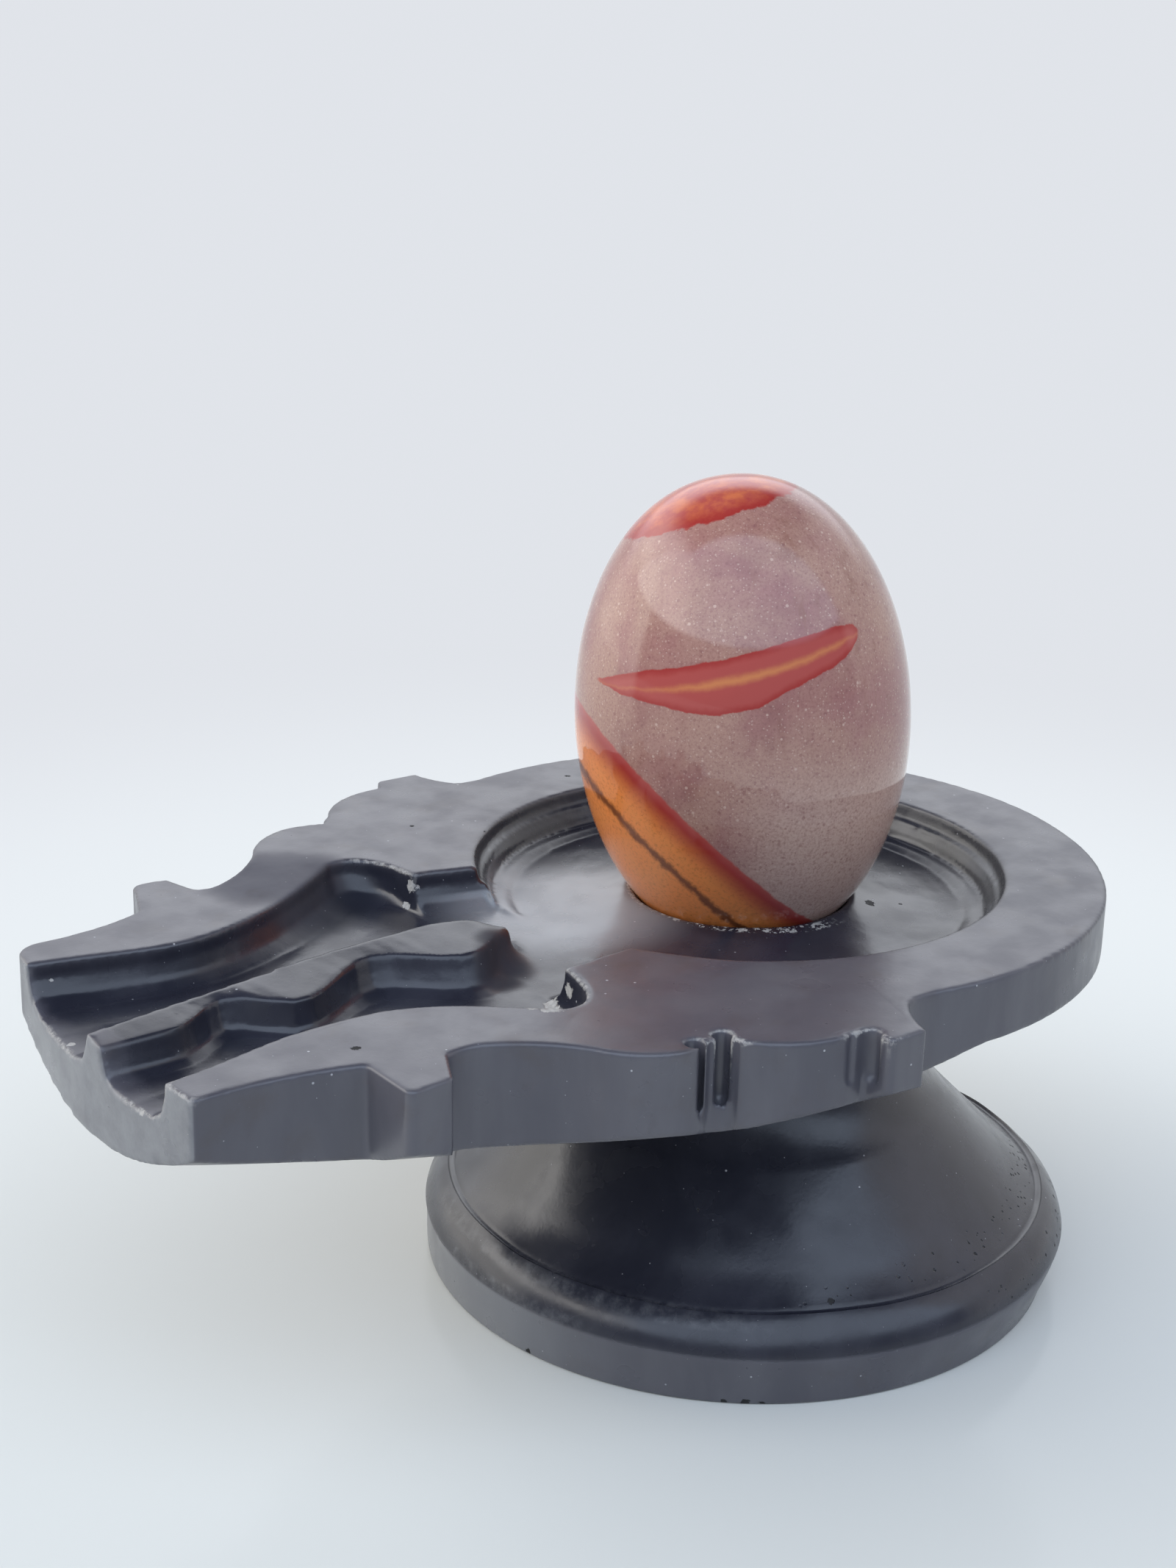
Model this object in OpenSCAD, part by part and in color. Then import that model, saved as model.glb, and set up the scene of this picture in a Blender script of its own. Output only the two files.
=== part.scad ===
// Polished stone lingam on a cast two-piece stand.
// Millimetres, +Z up. The origin is on the pedestal's axis at table level,
// and the spout points along -X.

/* [Stand] */
// Height of the plate's top face above the table
stand_h = 73.3; // [60:0.1:90]

/* [Pedestal] */
// Radius of the foot where it meets the table
foot_r = 56; // [48:0.5:64]
// How far the plinth's wall flares out from bottom to top
plinth_flare = 1.6; // [0:0.1:4]
// Height of the plinth's wall
plinth_h = 9; // [6:0.1:12]
// Height of the rounded shoulder above the plinth's wall
shoulder_h = 6; // [4:0.1:8]
// Width of the rounded shoulder, seen from above
shoulder_w = 5.4; // [4:0.1:7]
// Depth of the fine groove between the shoulder and the skirt
groove_depth = 0.8; // [0.4:0.1:1.2]
// Radius of the neck under the plate
neck_r = 29; // [26:0.5:32]
// Height of the straight skirt above the groove
skirt_h = 16.5; // [12:0.5:19]
// Radius of the skirt where it turns up into the neck
skirt_top_r = 36; // [33:0.5:40]
// Height of the hollow curve between skirt and neck
waist_h = 12; // [8:0.5:14]
// Radius of the locating spigot on the neck
spigot_r = 13; // [9:0.5:16]
// Gap round the spigot
spigot_gap = 0.3; // [0.2:0.05:0.6]

/* [Plate] */
// How far the plate is set off the pedestal's axis towards the spout
plate_off_x = 1.3; // [0:0.1:2.5]
// How far the plate is set off the pedestal's axis sideways
plate_off_y = 1.7; // [0:0.1:2.5]
// Radius of the round part of the plate
plate_r = 63; // [58:0.5:68]
// Thickness of the plate at its rim
rim_t = 10.6; // [8:0.1:13]
// Reach of the spout from the pedestal's axis
spout_reach = 124.6; // [118:0.2:132]
// Half width of the spout's end
spout_half = 31.8; // [29:0.1:34]
// How far the spout's end bows out in plan
spout_bow = 0.9; // [0.3:0.1:2]
// How far the far half of the spout's end is ground back
far_set_back = 2.2; // [0:0.1:3]
// Rounding of the spout's far corner
far_corner = 5; // [1:0.1:7]
// Rounding of the spout's near corner
near_corner = 1; // [0.4:0.1:3]
// Distance from the axis to the outer step of the fang beside the spout
fang_outer = 98.3; // [96:0.1:101]
// Distance from the axis to the inner corner of the fang
fang_inner = 90.6; // [90:0.1:93]
// Half width of the plate over its fangs
fang_half = 46.3; // [44:0.1:49]
// Half width of the spout at the foot of the fang's outer step
throat_half = 35.2; // [33.5:0.1:37]
// Distance from the axis to the hollow behind the fang
hollow_at = 84; // [82:0.1:86]
// Half width of the plate at the hollow behind the fang
hollow_half = 38.3; // [37:0.1:41]
// Distance from the axis to the crest of the wave
wave_at = 60; // [57:0.1:63]
// Half width of the plate over the crest of the wave
wave_half = 57; // [55:0.1:59]
// Distance from the axis to the long flute between wave and lobe
flute_at = 50.4; // [48.5:0.1:52]
// Half width of the plate at the long flute
flute_half = 55.6; // [54:0.1:57]
// Radius of the long flutes
flute_r = 1.5; // [1:0.1:1.8]
// Distance from the long flute to its twin
flute_pitch = 5.1; // [4.6:0.1:5.6]
// Length of the long flutes down the wall
flute_len = 11.4; // [8:0.1:12]
// Distance from the axis to the outer step of the ear
ear_outer = 31.6; // [30:0.1:33]
// Distance from the axis to the inner corner of the ear
ear_inner = 24.5; // [23:0.1:26]
// Distance from the axis to the foot of the ear's back edge
ear_foot = 19.5; // [18:0.1:21]
// How far the far side's teeth lean back towards the basin
far_lean = 3.4; // [0:0.1:3.6]
// Half width of the plate over its ears
ear_half = 70.8; // [69:0.1:73]
// Half width of the lobe at the foot of the ear's outer step
lobe_half = 65.6; // [64.5:0.1:67]
// Radius of the short flutes at the foot of the ear
ear_flute_r = 1.2; // [0.8:0.1:1.4]
// Distance from the short flute to its twin
ear_flute_pitch = 3; // [2.7:0.1:3.6]
// Length of the short flutes down the wall
ear_flute_len = 8.3; // [5:0.1:9]

/* [Belly] */
// Half width of the belly's rim line beside the ears
belly_ear_half = 68.5; // [66:0.1:71]
// Half width of the belly's rim line beside the fangs
belly_fang_half = 45; // [43:0.1:48]
// Half width of the belly's rim line at the spout's end
belly_end_half = 30; // [28:0.1:32]
// How far in from its rim line the belly turns flat
belly_reach = 30; // [27:0.5:32]
// How far the belly's keel rises towards the spout's end
keel_rise = 2; // [0:0.1:3]
// Share by which the keel's rise differs between the two sides
keel_roll = 0.5; // [0:0.05:0.8]
// Casting left under the stone's socket
seat_floor = 4.3; // [3:0.1:6]

/* [Basin and channels] */
// Radius of the basin's mouth
basin_r = 46; // [43:0.5:48]
// Depth of the basin at its outer edge
basin_depth = 7; // [5.5:0.1:8]
// Depth of the basin's floor beside the stone
floor_depth = 5; // [4:0.1:5.5]
// How far the basin's moulded ledge stands in from its mouth
ledge_w = 1.7; // [1:0.1:2.5]
// Depth of the ledge below the plate's top
ledge_depth = 2.8; // [2:0.1:3.5]
// Depth of the channels
channel_depth = 7; // [6:0.1:8]
// Half width of the neck between basin and channels
gate_half = 21.5; // [19:0.5:23]
// Distance from the axis to the wall that closes the near channel's bay
bay_wall_at = 55; // [54.8:0.1:56]
// Half width across the near channel's bay
bay_half = 35.2; // [32:0.1:37]
// How much wider the far channel's bay is than the near one
bay_swell = 2; // [0:0.1:3]
// Half width across the near channel where it is narrowest
strait_half = 20.2; // [18.5:0.1:22]
// Half width across the channels at the spout's end
mouth_half = 24.6; // [22:0.1:26]
// Distance from the axis to the inner end of the ridge
ridge_from = 48.6; // [47.8:0.1:49.4]
// How far the ridge's lobes reach towards the near side
ridge_lobe = 7.6; // [6:0.1:9]
// How far the ridge's near side is drawn in across the axis at its waists
ridge_waist = 0.4; // [0:0.1:1]
// How far the ridge's spine bows towards the far side
spine_bow = 5.3; // [4:0.1:6.5]
// How far the spine crosses to the near side at the spout's end
spine_end = 1.6; // [0:0.1:2.5]
// How far the ridge's crest lies below the plate's top
crest_drop = 0.8; // [0.3:0.1:1.5]

/* [Stone] */
// Largest diameter of the stone
stone_d = 57.3; // [50:0.1:62]
// Length of the stone
stone_len = 82.2; // [70:0.1:95]
// Fullness of the stone's ends, where 1 is a plain oval and less is blunter
stone_full = 0.93; // [0.88:0.01:1]
// Depth of the stone's lower end below the plate's top
stone_seat = 14.7; // [12:0.1:17]
// How far the stone's middle stands off the plate's centre towards the spout
stone_off = 0.7; // [0:0.1:2]
// Lean of the stone from upright, in degrees
stone_lean = 3.5; // [0:0.5:6]
// Direction that the stone leans towards, in degrees from +X
stone_lean_to = 144; // [0:1:359]
// Gap between the stone and its socket
stone_gap = 0.3; // [0.2:0.05:0.6]

/* [Adhesive] */
// Thickness of the adhesive bed between pedestal and plate
bed_t = 0.6; // [0.3:0.1:1.2]

/* [Hidden] */
$fn = 96;

cut = 1;                                          // how far a cutter passes the face it opens
arc_steps = 6;                                    // straight stretches in one arc of the plan
quarter_sag = 1 - sqrt(0.5);                      // bow of a quarter's rounding, per radius
tooth_round = 1.4;                                // rounding of the teeth's outer corners
throat_sag = 1.2;                                 // hollow of the spout's flank
hollow_w = 3;                                     // half length of the flat behind the fang
hollow_sag = 0.5;                                 // bow of that flat
lobe_sag = 2.8;                                   // bow of the lobe between flutes and ear
ear_fillet = 8;                                   // run of the fillet behind the ear
bay_run = 24.5;                                   // length from the near bay to its strait
bay_shelf = 2.2;                                  // run of the bay at its full width
bay_power = 1.7;                                  // how soon the bays narrow towards the straits
mouth_run = 26.6;                                 // length over which the channels widen to the mouth
bay_round = 7;                                    // run of the bay's rounded end
gate_flare = 1;                                   // how far the gate widens towards the near bay
nose = 0.6;                                       // half the run of the ridge's steep inner end
ridge_pitch = 27;                                 // length of the ridge's first lobe
spine_power = 1.6;                                // how late the spine bends back towards its end
crown_fall = 0.12;                                // fall of the crown to its near edge, per depth
station_run = 3;                                  // distance between the channels' sections
bay_station = station_run / 4;                    // distance between the sections round the bays' ends
bead = 0.4;                                       // small rounding of edges and mouldings
foot_run = 5;                                     // width of the hollow foot inside the basin's ledge
floor_share = 0.36;                               // radius of the flat floor, per diameter of the stone
shoulder_sag = shoulder_w / 7;                    // bow of the pedestal's shoulder
waist_sag = waist_h / 10;                         // hollow of the pedestal's waist
gate_from = basin_r - ledge_w - foot_run;         // inner end of the channels, inside the basin
flutes = [                                        // place, half width, radius and length of near flutes
    [flute_at, flute_half - flute_r / 4, flute_r, flute_len],
    [flute_at + flute_pitch, flute_half - flute_r / 4, flute_r, flute_len],
    [ear_outer, lobe_half + 1.2 * ear_flute_r, ear_flute_r, ear_flute_len],
    [ear_outer + ear_flute_pitch, lobe_half + ear_flute_r / 2, ear_flute_r * 0.7, ear_flute_len]];
mid_t = stone_seat + stone_gap + seat_floor;      // thickness of the plate over the neck
under_z = stand_h - mid_t;                        // the plate's flat underside over the neck
neck_top = under_z - bed_t;                       // top of the pedestal's neck
spigot_h = seat_floor / 2;                        // reach of the spigot into the plate
plinth_r = foot_r + plinth_flare;
groove_r = plinth_r - shoulder_w;
groove_z = plinth_h + shoulder_h;
stone_mid_z = stand_h - stone_seat + stone_len / 2;

// Points of an arc from p to q, without q. It bows to the right of the way from p to q by sag.
function arc(p, q, sag, steps) =
    let (chord = norm(q - p),
         right = [q[1] - p[1], p[0] - q[0]] / chord,
         r = (chord * chord / 4 + sag * sag) / (2 * sag),
         centre = (p + q) / 2 + right * (sag - r),
         start = atan2(p[1] - centre[1], p[0] - centre[0]),
         turn = 2 * asin(chord / 2 / abs(r)) * sign(sag))
    [for (i = [0:steps - 1])
        let (a = start + turn * i / steps)
        centre + abs(r) * [cos(a), sin(a)]];

// Points of a path whose knots are [x, y, sag of the arc to the next knot].
function path(knots, steps) =
    [for (i = [0:len(knots) - 1])
        let (p = [knots[i][0], knots[i][1]])
        each (i == len(knots) - 1 || knots[i][2] == 0
            ? [p]
            : arc(p, [knots[i + 1][0], knots[i + 1][1]], knots[i][2], steps))];

// A value that sways smoothly from knot to knot, where each knot is [place, value].
function sway(x, knots, i = 0) =
    x <= knots[i][0] ? knots[i][1]
    : i == len(knots) - 1 ? knots[i][1]
    : x < knots[i + 1][0]
        ? let (t = (x - knots[i][0]) / (knots[i + 1][0] - knots[i][0]))
          knots[i][1] + (knots[i + 1][1] - knots[i][1]) * t * t * (3 - 2 * t)
    : sway(x, knots, i + 1);

// Plan of one wing and of half the spout, with the spout along +X. The far side's teeth lean back.
function wing_knots(near) =
    let (corner = near ? near_corner : far_corner,
         end = spout_reach - spout_bow - (near ? 0 : far_set_back),
         lean = near ? 0 : far_lean,
         round = near ? tooth_round : 2 * tooth_round)
    [[spout_reach, 0, spout_bow / 3],
     [end, spout_half - corner, corner * quarter_sag],
     [end - corner, spout_half, -throat_sag],
     [fang_outer - lean / 4, throat_half, 0],
     [fang_outer - 1.25 * lean, fang_half - round, round * quarter_sag],
     [fang_outer - 1.25 * lean - round, fang_half, 0],
     [fang_inner - lean, fang_half - tooth_round / 2, 0],
     [hollow_at + hollow_w - lean / 2, hollow_half + hollow_sag, -hollow_sag],
     [hollow_at - hollow_w, hollow_half + hollow_sag, -2 * hollow_sag],
     [(hollow_at + wave_at) / 2 - hollow_w, (hollow_half + wave_half) / 2 + 2 * hollow_sag,
      3 * hollow_sag],
     [wave_at - tooth_round, wave_half, hollow_sag],
     [flute_at + (near ? flute_pitch / 2 : 0), flute_half, 0],
     [flute_at - tooth_round / 2, flute_half + flute_r, 0],
     [flute_at - tooth_round / 2 - lean / 2, flute_half + 2 * flute_r, lobe_sag],
     [ear_outer, lobe_half + lean / 2, 0],
     [ear_outer - lean / 2, ear_half - tooth_round / 2, 0],
     [ear_outer - lean / 2 - tooth_round / 2, ear_half, 0],
     [ear_inner - lean, ear_half, -tooth_round / 2],
     [ear_foot - lean / 2, plate_r - ear_fillet / 8, -ear_fillet / 16],
     [ear_foot - ear_fillet, sqrt(pow(plate_r, 2) - pow(ear_foot - ear_fillet, 2)), 0],
     [0, plate_r / 2, 0]];

// The whole plan of wings and spout, the near side's points and then the far side's.
wing_outline = concat(
    path(wing_knots(true), arc_steps),
    let (far = path(wing_knots(false), arc_steps))
    [for (i = [len(far) - 1:-1:1]) [far[i][0], -far[i][1]]]);

// Half width of the belly's rim line at x, a plain boat without the cusps.
function belly_half(x) = lookup(x, [
    [0, plate_r - tooth_round / 2], [ear_inner, belly_ear_half],
    [flute_at, belly_ear_half - 2 * tooth_round],
    [fang_outer, belly_fang_half], [spout_reach + cut, belly_end_half]]);

// Depth of the belly below the plate's top, at a distance in from its rim line.
belly_drop = mid_t - rim_t;
function belly_depth(inset) =
    inset <= 0
        ? rim_t + inset * 2 * belly_drop / belly_reach
        : mid_t - belly_drop * pow(1 - min(inset / belly_reach, 1), 2);

// Shares of the way in to the flat of the belly at which its curve is drawn.
belly_steps = [0, 0.1, 0.2, 0.32, 0.45, 0.6, 0.78, 1];
belly_top_inset = -(rim_t + cut) * belly_reach / (2 * belly_drop);

// The belly's section at x, as [y, z] with z = 0 at the plate's top.
function belly_section(x) =
    let (half = belly_half(x), flat = min(belly_reach, half - cut / 2),
         insets = concat([belly_top_inset], [for (t = belly_steps) t * flat]),
         lift = keel_rise * max(x - flute_at, 0) / (spout_reach - flute_at),
         side = [for (inset = insets) [half - inset, lift - belly_depth(inset)]],
         roll = lift * keel_roll / spout_half)
    concat([for (p = side) [-p[0], p[1] + roll * p[0]]],
           [for (k = [len(side) - 1:-1:0]) [side[k][0], side[k][1] - roll * side[k][0]]]);

belly_stations = [0, ear_inner, flute_at, (flute_at + fang_outer) / 2, fang_outer, spout_reach + cut];

// Half width across the channels at x: the gate, the bay's rounded end, the strait and the mouth.
function channel_half(x, near) =
    let (wall = bay_wall_at - (near ? 0 : far_lean), peak = wall + bay_round,
         jamb_half = gate_half + gate_flare * (near ? 1 : 3), swell = near ? 0 : bay_swell,
         wide = bay_half + swell, narrow = strait_half - swell / 2,
         fall = (x - peak - bay_shelf) / (bay_run * (near ? 1 : 1.5)))
    x < wall ? sway(x, [[gate_from, gate_half], [wall, jamb_half]])
    : x < peak ? jamb_half + (wide - jamb_half) * sqrt(1 - pow((peak - x) / bay_round, 2))
    : narrow + (wide - narrow) * pow(1 - min(max(fall, 0), 1), bay_power)
      + sway(x, [[spout_reach - mouth_run, 0], [spout_reach + 2 * cut, mouth_half - narrow]]);

// How far the ridge's lobed near edge lies from the axis at x.
function ridge_near(x) = sway(x, [
    [ridge_from - nose, nose], [ridge_from + ridge_pitch / 2, ridge_lobe],
    [ridge_from + ridge_pitch, -ridge_waist], [ridge_from + 1.62 * ridge_pitch, ridge_lobe],
    [ridge_from + 1.97 * ridge_pitch, ridge_waist], [ridge_from + 2.4 * ridge_pitch, 0.8 * ridge_lobe]]);

// How far the ridge's spine, its sharp far edge, lies from the axis at x.
function ridge_spine(x) =
    let (bend = ridge_from + ridge_pitch / 2,
         rise = (x - ridge_from) / (bend - ridge_from),
         run = (min(x, spout_reach) - bend) / (spout_reach - bend))
    x < bend ? max(spine_bow * sin(90 * rise), nose)
    : spine_bow - (spine_bow + spine_end) * pow(run, spine_power);

// Depth of the channels' floor at x, which meets the basin's edge.
function channel_floor(x) = sway(x, [[basin_r, basin_depth], [spout_reach, channel_depth]]);

// Depth of the ridge's crest at x, which rises from the floor at its inner end.
function crest_depth(x) = sway(x, [
    [ridge_from - nose, basin_depth], [ridge_from + nose, 2 * crest_drop],
    [ridge_from + ridge_pitch / 4, crest_drop / 2], [spout_reach, crest_drop * 1.4]]);

// The section's curves as shares of width and depth: the ridge's flank and the outer bank.
ridge_flank = [[0.03, 0.36], [0.08, 0.82], [0.2, 0.97]];
channel_bank = [[0.5, 1], [0.8, 0.95], [0.93, 0.72], [0.985, 0.35], [1, 0]];

// One side of the channels' section at x, from the ridge's edge to above the outer edge.
function channel_side(x, near) =
    let (edge = near ? ridge_near(x) : ridge_spine(x), gap = channel_half(x, near) - edge,
         deep = channel_floor(x), crest = crest_depth(x),
         rim = crest + (near ? crown_fall : 0) * (deep - crest), wall = deep - rim)
    concat([[edge, rim]],
           [for (p = ridge_flank) [edge + gap * p[0], rim + wall * p[1]]],
           [for (p = channel_bank) [edge + gap * p[0], deep * p[1]]],
           [[edge + gap, -cut]]);

// The whole section at x, as [y, z] with z = 0 at the plate's top and the near side towards +y.
function channel_section(x) =
    let (near = channel_side(x, true), far = channel_side(x, false))
    concat([for (i = [len(far) - 1:-1:0]) [-far[i][0], -far[i][1]]],
           [for (p = near) [p[0], -p[1]]]);

channel_stations = concat(
    [gate_from, basin_r, ridge_from - nose, ridge_from, ridge_from + nose],
    [for (x = [bay_wall_at - far_lean - bay_station:bay_station:bay_wall_at + bay_round]) x],
    [for (x = [bay_wall_at + bay_round + station_run / 2:station_run:spout_reach - station_run / 2]) x],
    [spout_reach, spout_reach + 3 * cut]);

// A closed solid through a row of like sections, each a list of [y, z] at its x.
module loft(stations, sections) {
    count = len(sections[0]);
    last = len(stations) - 1;
    points = [for (i = [0:last]) for (p = sections[i]) [stations[i], p[0], p[1]]];
    sides = [for (i = [0:last - 1]) for (j = [0:count - 1])
        let (a = i * count + j, b = i * count + (j + 1) % count)
        each [[a, a + count, b], [b, a + count, b + count]]];
    polyhedron(points, concat(sides,
        [[for (j = [0:count - 1]) j], [for (j = [count - 1:-1:0]) last * count + j]]));
}

// The stone's oval, turned about its own axis, grown by extra.
module stone_form(extra = 0) {
    r = stone_d / 2 + extra;
    h = stone_len / 2 + extra;
    translate([-plate_off_x - stone_off, plate_off_y, stone_mid_z])
        rotate([0, 0, stone_lean_to]) rotate([0, stone_lean, 0])
            rotate_extrude() polygon([for (a = [-90:5:90])
                [r * pow(max(cos(a), 0), stone_full), h * sin(a)]]);
}

module wing_plan() {
    polygon(wing_outline);
}

module plate_plan() {
    circle(r = plate_r);
    wing_plan();
}

// The rounded belly under the plate: a dish under the round part and a boat's hull under the spout.
module belly() {
    insets = concat([belly_top_inset], [for (t = belly_steps) t * belly_reach]);
    rotate_extrude() polygon(concat(
        [for (inset = insets) [plate_r - inset, -belly_depth(inset)]], [[0, -mid_t], [0, cut]]));
    loft(belly_stations, [for (x = belly_stations) belly_section(x)]);
}

// A round-bottomed flute down the wall.
module flute(r, length) {
    translate([0, 0, r - length]) {
        cylinder(r = r, h = length);
        sphere(r = r);
    }
}

// The basin: mouth, moulded ledge, hollow foot and a floor that rises to the stone.
module basin() {
    ledge_r = basin_r - ledge_w;
    rotate_extrude() polygon(concat(
        [[0, cut], [basin_r, cut], [basin_r, -bead]],
        path([[basin_r - bead, bead * 2 - ledge_depth, -bead], [ledge_r, -ledge_depth, 0],
              [ledge_r, -ledge_depth - bead * 2, bead],
              [ledge_r - bead * 3, bead * 2 - basin_depth, bead],
              [ledge_r - foot_run, -basin_depth, -bead],
              [stone_d * floor_share, -floor_depth, 0]], arc_steps),
        [[0, -floor_depth]]));
}

module pedestal() {
    profile = concat(
        [[0, 0], [foot_r - bead, 0], [foot_r, bead]],
        path([[plinth_r, plinth_h, shoulder_sag], [groove_r + groove_depth, groove_z, 0],
              [groove_r, groove_z - groove_depth, 0], [groove_r - groove_depth, groove_z, 0],
              [skirt_top_r, groove_z + skirt_h, -waist_sag],
              [neck_r, groove_z + skirt_h + waist_h, 0]], arc_steps),
        [[neck_r, neck_top], [spigot_r, neck_top],
         [spigot_r, under_z + spigot_h], [0, under_z + spigot_h]]);
    color("#33343a") rotate_extrude() polygon(profile);
}

module adhesive_bed() {
    color("#c9c4b8")
        translate([0, 0, neck_top])
            difference() {
                cylinder(r = neck_r - bead, h = bed_t);
                translate([0, 0, -cut]) cylinder(r = spigot_r + spigot_gap, h = bed_t + 2 * cut);
            }
}

module yoni_plate() {
    color("#3a3b42")
        difference() {
            translate([-plate_off_x, plate_off_y, stand_h]) rotate([0, 0, 180]) difference() {
                intersection() {
                    translate([0, 0, -mid_t]) linear_extrude(mid_t) plate_plan();
                    belly();
                }
                basin();
                loft(channel_stations, [for (x = channel_stations) channel_section(x)]);
                for (f = flutes)
                    translate([f[0], f[1], cut]) flute(f[2], f[3] + cut);
            }
            stone_form(stone_gap);
            translate([0, 0, under_z - cut])
                cylinder(r = spigot_r + spigot_gap, h = spigot_h + spigot_gap + cut);
        }
}

module lingam_stone() {
    color("#a8877f") stone_form();
}

pedestal();
adhesive_bed();
yoni_plate();
lingam_stone();
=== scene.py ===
"""Looks of a polished stone lingam on its black cast stand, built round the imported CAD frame."""

import logging
import math
from contextlib import contextmanager
from dataclasses import dataclass, field
from enum import Enum
from functools import reduce
from typing import Iterator, Sequence

import bpy
import numpy as np
from mathutils import Matrix, Vector


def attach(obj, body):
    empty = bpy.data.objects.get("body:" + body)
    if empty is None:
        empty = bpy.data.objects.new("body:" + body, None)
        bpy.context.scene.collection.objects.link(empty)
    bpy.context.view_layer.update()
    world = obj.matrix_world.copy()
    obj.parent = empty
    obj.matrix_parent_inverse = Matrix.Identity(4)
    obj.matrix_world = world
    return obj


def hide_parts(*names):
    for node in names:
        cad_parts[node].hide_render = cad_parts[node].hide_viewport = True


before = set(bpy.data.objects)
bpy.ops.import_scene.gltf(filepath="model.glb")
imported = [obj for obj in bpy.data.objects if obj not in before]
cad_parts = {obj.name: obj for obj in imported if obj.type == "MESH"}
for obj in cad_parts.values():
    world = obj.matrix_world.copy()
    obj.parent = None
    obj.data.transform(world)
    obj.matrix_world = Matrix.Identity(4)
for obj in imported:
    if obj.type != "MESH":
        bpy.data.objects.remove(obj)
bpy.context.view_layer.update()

LOG = logging.getLogger("lingam")
MM = 0.001
WELD = 0.001 * MM
TINY = 1e-12
Piece = bpy.types.Object
Mesh = bpy.types.Mesh
Material = bpy.types.Material
Tree = bpy.types.NodeTree
Node = bpy.types.Node
Socket = bpy.types.NodeSocket
Colour = tuple[float, float, float]
Point = tuple[float, float, float]
Flat = tuple[float, float]


class Body(Enum):
    """The CAD bodies that the pieces ride on."""

    STAND = "stand"
    STONE = "stone"


class Slot(Enum):
    """The record's material slots."""

    CASTING = "black_casting"
    ADHESIVE = "adhesive"
    JASPER = "jasper"


class Push(Enum):
    """The way in which a ripple moves a surface."""

    OUT = "NORMAL"
    UP = "Z"


@dataclass(frozen=True)
class Ripple:
    """A slow waviness: length of a wave and full height in metres, and the way it pushes."""

    run: float
    height: float
    push: Push = Push.OUT


@dataclass(frozen=True)
class Noise:
    """Soft noise: waves per unit, number of finer layers, their weight, and self-distortion."""

    scale: object
    detail: float = 4.0
    roughness: float = 0.55
    distortion: float = 0.0


@dataclass(frozen=True)
class Veil:
    """Soft noise through a smooth step: levels at which it begins and ends, and results there."""

    noise: Noise
    ramp: Sequence[float]


@dataclass(frozen=True)
class Cloud:
    """A cloudy blotch: waves per unit, the levels that count as none and all, and its weight."""

    scale: float
    low: float
    high: float
    weight: float = 1.0


@dataclass(frozen=True)
class Grains:
    """Strewn specks: cells per unit, size as a share of a cell, filled share, and weight."""

    scale: float
    size: float
    share: float
    weight: float = 1.0


def sockets(settings: object) -> dict[str, object]:
    """The fields of some settings, by the names of the sockets that they feed."""
    return {name.title(): value for name, value in vars(settings).items()}


def smooth_step(share: float) -> float:
    """Eases a share from 0 to 1."""
    share = min(max(share, 0.0), 1.0)
    return share * share * (3.0 - 2.0 * share)


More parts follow.
